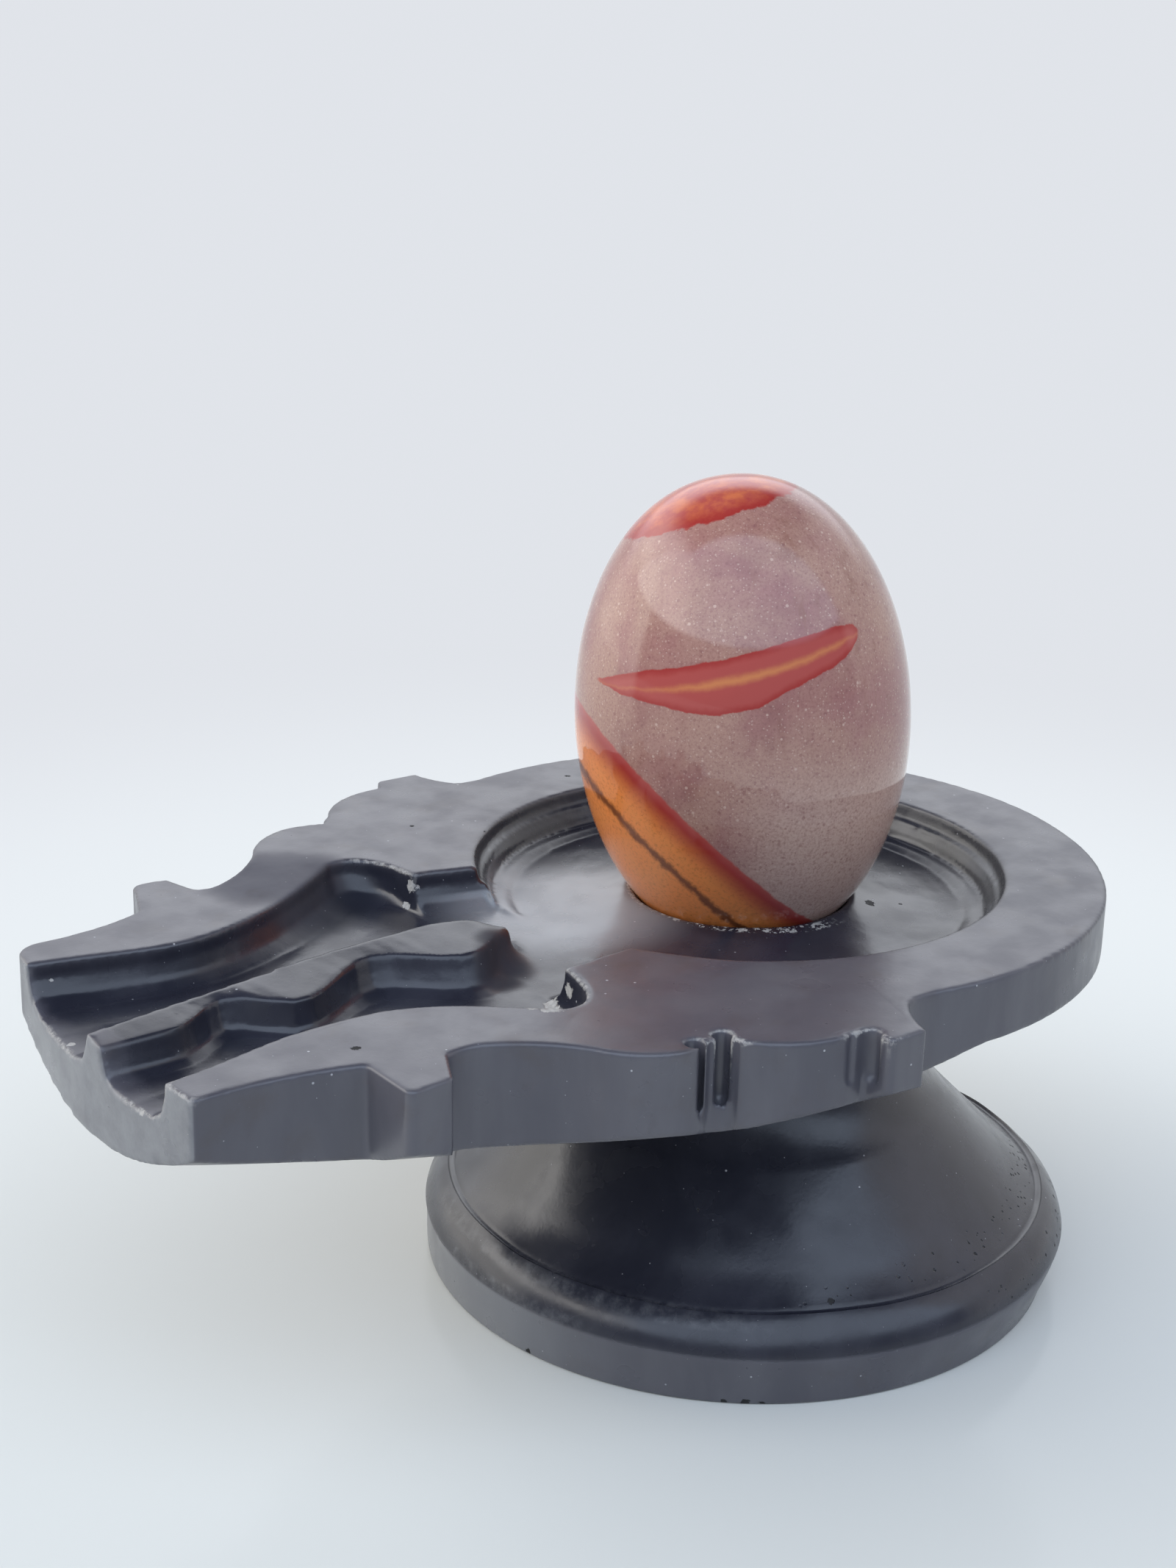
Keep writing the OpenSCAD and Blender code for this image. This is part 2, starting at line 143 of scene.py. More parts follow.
class Bench:
    """Modelling steps done with Blender's operators, as at a work bench."""

    @staticmethod
    def clear() -> None:
        """Leaves edit mode and deselects everything."""
        if bpy.context.object is not None and bpy.context.object.mode != "OBJECT":
            bpy.ops.object.mode_set(mode="OBJECT")
        bpy.ops.object.select_all(action="DESELECT")

    @staticmethod
    def take(piece: Piece) -> None:
        """Makes one piece the only selected and active one."""
        Bench.clear()
        piece.select_set(True)
        bpy.context.view_layer.objects.active = piece

    @staticmethod
    @contextmanager
    def editing(piece: Piece) -> Iterator[None]:
        """Holds one piece in edit mode, with all of it selected at first."""
        Bench.take(piece)
        bpy.ops.object.mode_set(mode="EDIT")
        bpy.ops.mesh.select_all(action="SELECT")
        yield
        bpy.ops.object.mode_set(mode="OBJECT")

    @staticmethod
    def apply(piece: Piece, kind: str, **settings: object) -> None:
        """Adds a modifier and applies it at once.

        Args:
            piece: The mesh to finish.
            kind: Blender's name for the modifier's type.
            settings: Values for the modifier's properties.
        """
        modifier = piece.modifiers.new(kind.lower(), kind)
        for name, value in settings.items():
            setattr(modifier, name, value)
        Bench.take(piece)
        bpy.ops.object.modifier_apply(modifier=modifier.name)

    @staticmethod
    def ripple(piece: Piece, ripple: Ripple, within: str = "") -> None:
        """Gives a hand-made surface its slow waviness.

        Args:
            piece: The mesh to ripple.
            ripple: The waves.
            within: Name of the vertex group that is rippled, or all of it.
        """
        clouds = bpy.data.textures.new(f"{piece.name}_ripple", "CLOUDS")
        clouds.noise_scale = ripple.run
        Bench.apply(
            piece, "DISPLACE", texture=clouds, texture_coords="LOCAL", direction=ripple.push.value,
            strength=ripple.height, mid_level=0.5, vertex_group=within,
        )

    @staticmethod
    def even(piece: Piece, rounds: int, within: str = "") -> None:
        """Evens out a surface over some rounds, everywhere or in a vertex group."""
        Bench.apply(piece, "SMOOTH", factor=0.5, iterations=rounds, vertex_group=within)

    @staticmethod
    def smooth(piece: Piece) -> Piece:
        """Shades a piece smooth and hands it back."""
        Bench.take(piece)
        bpy.ops.object.shade_smooth()
        return piece

    @staticmethod
    def copy_of(node: str, name: str) -> Piece:
        """Copies a CAD node's mesh into a new piece and merges its loose triangles.

        Args:
            node: The CAD node's name.
            name: The new piece's name.

        Returns:
            The merged copy.
        """
        piece = bpy.data.objects.new(name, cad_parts[node].data.copy())
        bpy.context.scene.collection.objects.link(piece)
        piece.data.materials.clear()
        with Bench.editing(piece):
            bpy.ops.mesh.remove_doubles(threshold=WELD)
        return piece

    @staticmethod
    def turned(
        name: str, profile: Sequence[Flat], centres: Sequence[Flat], segments: int
    ) -> Piece:
        """Turns a closed solid from a profile, ring by ring from its flat bottom to its flat top.

        Args:
            name: The new piece's name.
            profile: Radius and height of each ring in metres.
            centres: Where each ring's middle lies in plan, in metres.
            segments: Number of flats round each ring.

        Returns:
            The turned piece.
        """
        Bench.clear()
        radius, height = profile[0]
        bpy.ops.mesh.primitive_circle_add(
            vertices=segments, radius=radius, fill_type="NGON", location=(*centres[0], height)
        )
        piece = bpy.context.object
        piece.name = name
        bpy.ops.object.transform_apply(location=True, rotation=True, scale=True)
        rings = [(r, Vector((*middle, z))) for (r, z), middle in zip(profile, centres)]
        with Bench.editing(piece):
            bpy.ops.mesh.select_mode(type="FACE")
            for (r0, place0), (r1, place1) in zip(rings, rings[1:]):
                bpy.ops.mesh.extrude_region_move(TRANSFORM_OT_translate={"value": place1 - place0})
                bpy.ops.transform.resize(value=(r1 / r0, r1 / r0, 1.0), center_override=place1)
            bpy.ops.mesh.select_all(action="SELECT")
            bpy.ops.mesh.normals_make_consistent(inside=False)
        return piece

    @staticmethod
    def group_level(piece: Piece, rise: Flat, fall: Flat) -> str:
        """Makes a vertex group that grows with height over one stretch and fades over another.

        Args:
            piece: The mesh that gets the group.
            rise: Heights in metres between which the group grows.
            fall: Heights in metres between which the group fades.

        Returns:
            The group's name.
        """
        group = piece.vertex_groups.new(name="level")
        for point in piece.data.vertices:
            grown = smooth_step((point.co.z - rise[0]) / (rise[1] - rise[0]))
            faded = smooth_step((point.co.z - fall[0]) / (fall[1] - fall[0]))
            group.add([point.index], grown * (1 - faded), "REPLACE")
        return group.name

    @staticmethod
    def group_round(piece: Piece, centre: Point, reach: float, top: float) -> str:
        """Makes a vertex group that fades out round a place, below a height.

        Args:
            piece: The mesh that gets the group.
            centre: The place in metres.
            reach: Distance in metres at which the group ends.
            top: Height in metres above which no point counts.

        Returns:
            The group's name.
        """
        group = piece.vertex_groups.new(name="round")
        for point in piece.data.vertices:
            away = (point.co - Vector(centre)).length
            if away < reach and point.co.z < top:
                group.add([point.index], smooth_step(2 - 2 * away / reach), "REPLACE")
        return group.name

    @staticmethod
    def wires(mesh: Mesh) -> tuple[np.ndarray, np.ndarray, np.ndarray]:
        """Reads a mesh's points and the two ends of each of its edges."""
        spots = np.empty(len(mesh.vertices) * 3, np.float32)
        mesh.vertices.foreach_get("co", spots)
        ends = np.empty(len(mesh.edges) * 2, np.int32)
        mesh.edges.foreach_get("vertices", ends)
        first, second = ends.reshape(-1, 2).T
        return spots.reshape(-1, 3), first, second

    @staticmethod
    def joins(first: np.ndarray, second: np.ndarray, count: int) -> np.ndarray:
        """Number of edges at each point, and at least 1."""
        edges = np.bincount(first, minlength=count) + np.bincount(second, minlength=count)
        return np.maximum(edges, 1)

    @staticmethod
    def store(mesh: Mesh, name: str, values: np.ndarray, rounds: int) -> None:
        """Evens out a value from point to point and stores it as an attribute.

        Args:
            mesh: The mesh that gets the attribute.
            name: The attribute's name.
            values: One value for each point.
            rounds: How often the values are evened out with their neighbours.
        """
        _, a, b = Bench.wires(mesh)
        count = len(values)
        shares = Bench.joins(a, b, count)
        for _ in range(rounds):
            near = np.bincount(a, values[b], count) + np.bincount(b, values[a], count)
            values = (values + near / shares) / 2
        attribute = mesh.attributes.new(name, "FLOAT", "POINT")
        attribute.data.foreach_set("value", np.clip(values, 0.0, 1.0).astype(np.float32))

    @staticmethod
    def mark_edges(piece: Piece, gain: float) -> None:
        """Stores how far each point stands out as an edge, for wear that follows the edges.

        Args:
            piece: The finished mesh.
            gain: How soon a bend counts as a full edge.
        """
        mesh = piece.data
        spots, a, b = Bench.wires(mesh)
        count = len(spots)
        normals = np.empty(count * 3, np.float32)
        mesh.vertex_normals.foreach_get("vector", normals)
        normals = normals.reshape(-1, 3)
        run = spots[b] - spots[a]
        run /= np.linalg.norm(run, axis=1)[:, None] + TINY
        begun = np.bincount(a, (normals[a] * run).sum(1), count)
        rise = np.bincount(b, (normals[b] * run).sum(1), count) - begun
        Bench.store(mesh, "edge", rise / Bench.joins(a, b, count) * gain, rounds=1)

    @staticmethod
    def mark_recess(piece: Piece, seed: Point, brim: float, mouth: float) -> str:
        """Stores which points lie in the recess that oil and water run through.

        Args:
            piece: The mesh with the recess.
            seed: A place on the recess's floor, in metres.
            brim: Height in metres below which the recess lies.
            mouth: Where along X the recess ends, in metres.

        Returns:
            The name of the vertex group of these points.
        """
        spots, a, b = Bench.wires(piece.data)
        inner = (spots[:, 2] < brim) & (spots[:, 0] > mouth)
        joined = inner[a] & inner[b]
        a, b = a[joined], b[joined]
        wet = np.zeros(len(spots), bool)
        wet[np.argmin(((spots - np.array(seed, np.float32)) ** 2).sum(1))] = True
        reached = 0
        while reached != np.count_nonzero(wet):
            reached = np.count_nonzero(wet)
            wet[b[wet[a]]] = True
            wet[a[wet[b]]] = True
        Bench.store(piece.data, "oiled", wet.astype(float), rounds=8)
        group = piece.vertex_groups.new(name="recess")
        group.add([int(index) for index in np.flatnonzero(wet)], 1.0, "REPLACE")
        return group.name

    @staticmethod
    def dress(piece: Piece, material: Material, body: Body, slot: Slot) -> None:
        """Gives a piece its finish and its body."""
        piece.data.materials.clear()
        piece.data.materials.append(material)
        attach(piece, body.value)


class Graph:
    """A shader node tree with short calls for the nodes that the finishes use."""

    def __init__(self, tree: Tree) -> None:
        """Keeps the tree."""
        self.tree = tree

    def node(self, kind: str, **settings: object) -> Node:
        """Adds a node and sets its properties."""
        made = self.tree.nodes.new(kind)
        for name, value in settings.items():
            setattr(made, name, value)
        return made

    def feed(self, target: Socket, value: object) -> None:
        """Links a socket into a target, or sets the target's own value."""
        if isinstance(value, Socket):
            self.tree.links.new(value, target)
        elif isinstance(value, tuple) and target.type == "RGBA" and len(value) == 3:
            target.default_value = (*value, 1.0)
        else:
            target.default_value = value

    def math(self, step: str, a: object, b: object = 0.0, clamp: bool = False) -> Socket:
        """One step of arithmetic.

        Args:
            step: Blender's name for the operation.
            a: First value or socket.
            b: Second value or socket.
            clamp: Whether the result stays from 0 to 1.

        Returns:
            The result's socket.
        """
        made = self.node("ShaderNodeMath", operation=step, use_clamp=clamp)
        self.feed(made.inputs[0], a)
        self.feed(made.inputs[1], b)
        return made.outputs[0]

    def fill(self, made: Node, **values: object) -> None:
        """Feeds a node's inputs by name."""
        for name, value in values.items():
            self.feed(made.inputs[name], value)

    def plus(self, a: object, b: object) -> Socket:
        """Adds one value or socket to another."""
        return self.math("ADD", a, b)

    def minus(self, a: object, b: object) -> Socket:
        """Takes one value or socket from another."""
        return self.math("SUBTRACT", a, b)

    def times(self, *values: object) -> Socket:
        """Multiplies values and sockets together."""
        return reduce(lambda a, b: self.math("MULTIPLY", a, b), values)

    def largest(self, *values: object) -> object:
        """The largest of some values and sockets, and of 0."""
        return reduce(lambda a, b: self.math("MAXIMUM", a, b), values, 0.0)

    def vector(self, step: str, a: object, b: object = None) -> Socket:
        """One step of vector arithmetic; dot product, distance and length give one value."""
        made = self.node("ShaderNodeVectorMath", operation=step)
        self.feed(made.inputs[0], a)
        if b is not None:
            self.feed(made.inputs[1], b)
        return made.outputs["Value" if step in ("DOT_PRODUCT", "DISTANCE", "LENGTH") else "Vector"]

    def span(
        self, value: Socket, low: object, high: object, to_low: float = 0.0, to_high: float = 1.0
    ) -> Socket:
        """A smooth step as value goes from low to high.

        Args:
            value: The socket to read.
            low: Where the step begins.
            high: Where the step ends; it may be below low.
            to_low: Result at low.
            to_high: Result at high.

        Returns:
            The result's socket.
        """
        made = self.node("ShaderNodeMapRange", interpolation_type="SMOOTHSTEP")
        for given, socket in zip((value, low, high, to_low, to_high), made.inputs):
            self.feed(socket, given)
        return made.outputs[0]

    def mix(self, share: object, a: object, b: object) -> Socket:
        """Mixes two colours."""
        made = self.node("ShaderNodeMix", data_type="RGBA", clamp_factor=True)
        self.feed(made.inputs[0], share)
        self.feed(made.inputs[6], a)
        self.feed(made.inputs[7], b)
        return made.outputs[2]

    def noise_at(self, place: Socket, noise: Noise) -> Socket:
        """Soft noise over a place.

        Args:
            place: The coordinates.
            noise: The noise's settings.

        Returns:
            A value about 0.5.
        """
        made = self.node("ShaderNodeTexNoise")
        self.fill(made, Vector=place, **sockets(noise))
        return made.outputs["Fac"]

    def curve(self, value: Socket, stops: Sequence[Flat]) -> Socket:
        """A value that follows soft stops of (place, level)."""
        made = self.node("ShaderNodeValToRGB")
        made.color_ramp.interpolation = "B_SPLINE"
        elements = made.color_ramp.elements
        while len(elements) < len(stops):
            elements.new(1.0)
        for element, (place, level) in zip(elements, stops):
            element.position = place
            element.color = (level, level, level, 1.0)
        self.feed(made.inputs[0], value)
        return made.outputs[0]

    def group(self, tree: Tree, **values: object) -> Socket:
        """Places a node group, feeds its inputs by name and returns its result."""
        made = self.node("ShaderNodeGroup", node_tree=tree)
        self.fill(made, **values)
        return made.outputs[0]

    def split(self, vector: Socket) -> tuple[Socket, Socket, Socket]:
        """The three parts of a vector."""
        made = self.node("ShaderNodeSeparateXYZ")
        self.feed(made.inputs[0], vector)
        return made.outputs[0], made.outputs[1], made.outputs[2]


class SharedEffects:
    """Node groups that several finishes place with their own values."""

    SPECK_LEAST = 0.4
    SPECK_RANGE = 0.8
    SPECK_CORE = 0.6
    TEAR = 1.8
    TEAR_EDGE = (0.85, 0.7)

    def __init__(self) -> None:
        """Builds each group once."""
        self.trees = {Grains: self._specks(), Cloud: self._blotch(), Spot: self._patch()}

    @staticmethod
    def _tree(
        name: str, places: Sequence[str], **numbers: float
    ) -> tuple[Graph, dict[str, Socket], Socket]:
        """Starts a group that puts out one value.

        Args:
            name: The group's name.
            places: Name of each vector that it takes.
            numbers: Name and value of each number that it takes.

        Returns:
            The group's graph, its input sockets by name and its output socket.
        """
        tree = bpy.data.node_groups.new(name, "ShaderNodeTree")
        for label in places:
            tree.interface.new_socket(label, in_out="INPUT", socket_type="NodeSocketVector")
        for label, value in numbers.items():
            socket = tree.interface.new_socket(label, in_out="INPUT", socket_type="NodeSocketFloat")
            socket.default_value = value
        tree.interface.new_socket("Mask", in_out="OUTPUT", socket_type="NodeSocketFloat")
        graph = Graph(tree)
        given = graph.node("NodeGroupInput")
        sent = graph.node("NodeGroupOutput")
        return graph, {socket.name: socket for socket in given.outputs}, sent.inputs["Mask"]

    def _specks(self) -> Tree:
        """Round specks strewn at random: dust, sand grains or pinholes."""
        graph, given, sent = self._tree(
            "strewn_specks", ["Place"], Scale=1.0, Size=0.2, Share=0.5, Weight=1.0
        )
        cells = graph.node("ShaderNodeTexVoronoi", feature="F1")
        graph.fill(cells, Vector=given["Place"], Scale=given["Scale"])
        red, green, _ = graph.split(cells.outputs["Color"])
        chosen = graph.math("GREATER_THAN", red, graph.minus(1.0, given["Share"]))
        vary = graph.plus(graph.times(green, self.SPECK_RANGE), self.SPECK_LEAST)
        size = graph.times(given["Size"], vary)
        dot = graph.span(cells.outputs["Distance"], size, graph.times(size, self.SPECK_CORE))
        graph.feed(sent, graph.times(dot, chosen, given["Weight"]))
        return graph.tree

    def _blotch(self) -> Tree:
        """Cloudy unevenness with a set contrast."""
        graph, given, sent = self._tree(
            "cloudy_blotch", ["Place"], Scale=1.0, Low=0.4, High=0.6, Weight=1.0
        )
        noise = Noise(given["Scale"], detail=5.0, roughness=0.6, distortion=0.3)
        clouds = graph.span(graph.noise_at(given["Place"], noise), given["Low"], given["High"])
        graph.feed(sent, graph.times(clouds, given["Weight"]))
        return graph.tree

    def _patch(self) -> Tree:
        """A ragged patch round one place, such as a chip in a coat."""
        graph, given, sent = self._tree(
            "ragged_patch", ["Place", "Centre"], Radius=1.0, Grain=1.0
        )
        away = graph.vector("DISTANCE", given["Place"], given["Centre"])
        away = graph.math("DIVIDE", away, given["Radius"])
        grain = graph.noise_at(given["Place"], Noise(given["Grain"], detail=3.0, roughness=0.65))
        torn = graph.times(graph.minus(grain, 0.5), self.TEAR)
        graph.feed(sent, graph.span(graph.plus(away, torn), *self.TEAR_EDGE))
        return graph.tree


@dataclass(frozen=True)
class Spot:
    """A place on a casting, in millimetres: a chip, a pit, or where it is worn or dull."""

    centre: Point
    radius: float
    grain: float = 0.9


@dataclass(frozen=True)
class Band:
    """A stretch of height and direction, in millimetres and degrees, with pinholes, or with scuffs
    and their painted highlight.
    """

    low: float
    high: float
    towards: float
    spread: float
    share: float = 0.5


@dataclass(frozen=True)
class PaintedSheen:
    """A painted sheen: soft pale colour on a low face that stands in for reflected light, in
    millimetres.
    """

    centre: Point
    radius: float
    top: float
    share: float


@dataclass(frozen=True)
class Crumbs:
    """A broken ring of pale crumbs on one side of a socket, in millimetres and degrees."""

    centre: Flat
    radius: float
    width: float
    height: float
    towards: float


@dataclass(frozen=True)
class FlawsAndSheen:
    """All that is not perfect on one casting, and the sheen and highlight painted on it."""

    chips: Sequence[Spot] = ()
    worn: Sequence[Spot] = ()
    pits: Sequence[Spot] = ()
    pinholes: Sequence[Band] = ()
    # Scuffs: rubbed pale stretches that also carry a painted highlight.
    scuffs: Sequence[Band] = ()
    crumbs: Sequence[Crumbs] = ()
    # Painted sheen: pale patches that stand in for reflected light.
    films: Sequence[PaintedSheen] = ()
    dull: Sequence[Spot] = ()
    rubbed: float = 0.1
    oiled_from: float = 0.0
    # Where the spout's end face begins: ground bare, and painted paler as if reflecting light.
    pale_end: float = 0.0


class Brush(Graph):
    """A started material's graph, with its coordinates in millimetres and the shared effects."""

    def __init__(self, name: str, effects: SharedEffects) -> None:
        """Starts the material.

        Args:
            name: The material's name.
            effects: The shared node groups.
        """
        self.material = bpy.data.materials.new(name)
        self.material.use_nodes = True
        super().__init__(self.material.node_tree)
        self.shader = self.tree.nodes["Principled BSDF"]
        self.effects = effects
        scaled = self.node("ShaderNodeVectorMath", operation="SCALE")
        own = self.node("ShaderNodeTexCoord").outputs["Object"]
        self.feed(scaled.inputs[0], own)
        scaled.inputs["Scale"].default_value = 1.0 / MM
        self.place = scaled.outputs["Vector"]

    def drawn(self, stretch: Point) -> Socket:
        """The coordinates, scaled along each axis."""
        return self.vector("MULTIPLY", self.place, stretch)

    def noise(self, noise: Noise) -> Socket:
        """Soft noise."""
        return self.noise_at(self.place, noise)

    def veil(self, veil: Veil, place: Socket | None = None) -> Socket:
        """Soft noise through a smooth step, at the material's own coordinates or at given ones."""
        at = self.place if place is None else place
        return self.span(self.noise_at(at, veil.noise), *veil.ramp)

    def mask(self, settings: object, place: Socket | None = None) -> Socket:
        """A shared effect with its settings, at the material's own coordinates or at given ones."""
        at = self.place if place is None else place
        tree = self.effects.trees[type(settings)]
        return self.group(tree, Place=at, **sockets(settings))

    def near(self, centre: Point, radius: float, full: float = 0.5) -> Socket:
        """The soft mask round a place, full within a share of its radius."""
        away = self.vector("DISTANCE", self.place, centre)
        return self.span(away, radius, radius * full)

    def stored(self, name: str) -> Socket:
        """A value that the mesh stores at its points."""
        return self.node("ShaderNodeAttribute", attribute_name=name).outputs["Fac"]

    def coat(self, colour: Socket, rough: object) -> None:
        """Feeds the shader's colour and roughness."""
        self.feed(self.shader.inputs["Base Color"], colour)
        self.feed(self.shader.inputs["Roughness"], rough)

    def bump(self, height: Socket, depth: float, strength: float) -> None:
        """Roughens the shader's normal by a height whose full scale is depth in metres."""
        made = self.node("ShaderNodeBump")
        self.fill(made, Strength=strength, Distance=depth, Height=height)
        self.feed(self.shader.inputs["Normal"], made.outputs[0])


@dataclass(frozen=True)
class CastingFinish:
    """Black coat over a pale cast body: dry and greyed outside, oiled inside, dusty and chipped,
    with painted sheen and highlight.

    Lengths are in millimetres, but the bump's depth in metres.
    """

    dry: Colour = (0.072, 0.070, 0.086)
    haze: Colour = (0.100, 0.098, 0.113)
    oil: Colour = (0.016, 0.017, 0.027)
    oil_haze: Colour = (0.030, 0.031, 0.044)
    warm: Colour = (0.066, 0.054, 0.054)
    # Pale thin coat; on scuffs and on the spout's end face it is also a painted highlight and
    # reflection.
    thin: Colour = (0.200, 0.204, 0.216)
    body: Colour = (0.66, 0.64, 0.61)
    # Colour of the painted sheen, which stands in for reflected light.
    film: Colour = (0.270, 0.280, 0.295)
    shade: Colour = (0.13, 0.125, 0.12)
    speck: Colour = (0.50, 0.50, 0.52)
    hole: Colour = (0.005, 0.005, 0.006)
    ior: float = 1.56
    smear: Noise = Noise(0.14, 3.0, 0.5, 0.1)
    smear_span: Flat = (0.3, 0.75)
    dry_rough: Flat = (0.27, 0.40)
    oil_rough: Flat = (0.20, 0.32)
    dull_rough: float = 0.45
    tone: Cloud = Cloud(0.075, 0.35, 0.75)
    tone_drawn: Point = (1.0, 1.0, 0.25)
    rust: Cloud = Cloud(0.12, 0.52, 0.8, 0.5)
    soft_edge: float = 0.8
    # Where the painted sheen is full, and how it fades at its top.
    film_full: float = 0.35
    film_edge: float = 0.6
    # Where and how the spout's end face is painted paler: ground bare, and a painted reflection.
    ground_reach: Flat = (4.0, 2.0)
    ground_facing: Flat = (-0.55, -0.85)
    grinding: Veil = Veil(Noise(0.3, 5.0, 0.65), (0.25, 0.7, 0.55, 1.0))
    coarse_dust: Grains = Grains(0.32, 0.075, 0.4)
    fine_dust: Grains = Grains(0.8, 0.09, 0.25, 0.6)
    dust_share: float = 0.75
    rubbing: Noise = Noise(0.75, 4.0, 0.7)
    rubbed_span: Flat = (0.62, 0.74)
    worn_edge: Flat = (0.12, 0.34)
    wearing: Veil = Veil(Noise(0.9, 4.0, 0.7), (0.4, 0.6))
    worn_share: float = 0.8
    crumbling: Veil = Veil(Noise(0.9, 3.0, 0.7), (0.52, 0.58))
    crumb_top: Flat = (1.5, 0.8)
    crumb_facing: Flat = (0.1, 0.5)
    pinhole_scale: float = 0.95
    pinhole_size: float = 0.34
    band_full: float = 0.6
    # Texture of the scuffs and of their painted highlight.
    scuffing: Veil = Veil(Noise(0.4, 5.0, 0.65), (0.38, 0.72))
    grain: Noise = Noise(1.6, 4.0, 0.7)
    relief: Noise = Noise(1.1, 3.0, 0.6)
    relief_share: float = 0.10
    bare_sink: float = 0.7
    hole_sink: float = 1.4
    dust_rise: float = 0.2
    bump_depth: float = 0.35 * MM
    bump_strength: float = 0.5

    def make(self, name: str, effects: SharedEffects, flaws: FlawsAndSheen) -> Material:
        """Builds the coat for one casting.

        Args:
            name: The material's name.
            effects: The shared node groups.
            flaws: All that is not perfect on this casting, and its painted sheen and highlight.

        Returns:
            The finished material.
        """
        brush = Brush(name, effects)
        dust = self._dust(brush)
        bare = self._bare(brush, flaws)
        dark = self._holes(brush, flaws)
        grain = brush.noise(self.grain)
        oiled = self._oiled(brush, flaws)
        # Scuffs: rubbed pale stretches, partly a painted highlight on the lit side.
        scuffs = brush.largest(*[self._scuff(brush, band) for band in flaws.scuffs])
        colour = brush.mix(scuffs, self._coat(brush, oiled, flaws), self.thin)
        colour = brush.mix(brush.times(dust, self.dust_share), colour, self.speck)
        colour = brush.mix(bare, colour, brush.mix(grain, self.shade, self.body))
        colour = brush.mix(dark, colour, self.hole)
        smear = brush.noise(self.smear)
        rough = brush.span(smear, *self.smear_span, *self.dry_rough)
        gloss = brush.minus(brush.span(smear, *self.smear_span, *self.oil_rough), rough)
        rough = brush.plus(rough, brush.times(oiled, gloss))
        matt = [brush.near(spot.centre, spot.radius) for spot in flaws.dull]
        dull = brush.times(brush.largest(bare, dark, *matt), self.dull_rough)
        brush.coat(colour, brush.math("ADD", rough, dull, clamp=True))
        brush.shader.inputs["IOR"].default_value = self.ior
        height = brush.times(brush.noise(self.relief), self.relief_share)
        height = brush.plus(height, brush.times(bare, brush.minus(grain, self.bare_sink)))
        height = brush.minus(height, brush.times(dark, self.hole_sink))
        height = brush.plus(height, brush.times(dust, self.dust_rise))
        brush.bump(height, self.bump_depth, self.bump_strength)
        return brush.material

    def _oiled(self, brush: Brush, flaws: FlawsAndSheen) -> Socket:
        """Where oil has darkened and polished the coat."""
        if flaws.oiled_from:
            _, _, height = brush.split(brush.place)
            return brush.span(height, flaws.oiled_from, flaws.oiled_from + self.soft_edge)
        return brush.stored("oiled")

    def _coat(self, brush: Brush, oiled: Socket, flaws: FlawsAndSheen) -> Socket:
        """The uneven black, paler under painted sheen and on the spout's end face, which is ground
        and also painted as if it caught reflected light.

        Args:
            brush: The started material.
            oiled: Where the coat is oiled.
            flaws: The painted sheen patches, and where the spout's ground and painted end face
                lies.

        Returns:
            The coat's colour.
        """
        along, _, height = brush.split(brush.place)
        tone = brush.mask(self.tone, brush.drawn(self.tone_drawn))
        colour = brush.mix(tone, self.dry, self.haze)
        colour = brush.mix(brush.mask(self.rust), colour, self.warm)
        colour = brush.mix(oiled, colour, brush.mix(tone, self.oil, self.oil_haze))
        # Painted sheen: pale colour on low faces, as if they reflected bright light.
        for film in flaws.films:
            near = brush.near(film.centre, film.radius, self.film_full)
            level = brush.span(height, film.top + self.film_edge, film.top)
            colour = brush.mix(brush.times(near, level, film.share), colour, self.film)
        # The spout's end face: ground bare in patches, and painted paler as a reflection of the
        # bright side.
        if flaws.pale_end:
            facing, _, _ = brush.split(brush.node("ShaderNodeNewGeometry").outputs["Normal"])
            reach = brush.span(along, *[flaws.pale_end + part for part in self.ground_reach])
            ground_and_sheen = brush.times(brush.span(facing, *self.ground_facing), reach)
            ground_and_sheen = brush.times(ground_and_sheen, brush.veil(self.grinding))
            colour = brush.mix(ground_and_sheen, colour, self.thin)
        return colour

    def _dust(self, brush: Brush) -> Socket:
        """White dust in two sizes."""
        return brush.largest(brush.mask(self.coarse_dust), brush.mask(self.fine_dust))

    def _bare(self, brush: Brush, flaws: FlawsAndSheen) -> Socket:
        """Where the pale body shows: chips, crumbs and rubbed edges."""
        edge = brush.stored("edge")
        rubbed = brush.times(edge, brush.noise(self.rubbing))
        masks = [brush.span(rubbed, *[level - flaws.rubbed for level in self.rubbed_span])]
        masks += [brush.mask(chip) for chip in flaws.chips]
        masks += [self._ring(brush, ring) for ring in flaws.crumbs]
        masks += [self._worn(brush, edge, spot) for spot in flaws.worn]
        return brush.largest(*masks)

    def _holes(self, brush: Brush, flaws: FlawsAndSheen) -> Socket:
        """Where the surface is pitted: single pits and bands of pinholes."""
        masks = [brush.mask(pit) for pit in flaws.pits]
        masks += [self._pinholes(brush, band) for band in flaws.pinholes]
        return brush.largest(*masks)

    def _worn(self, brush: Brush, edge: Socket, spot: Spot) -> Socket:
        """The mask of an edge that is rubbed pale round one place."""
        near = brush.near(spot.centre, spot.radius)
        sharp = brush.span(edge, *self.worn_edge)
        return brush.times(near, sharp, brush.veil(self.wearing), self.worn_share)

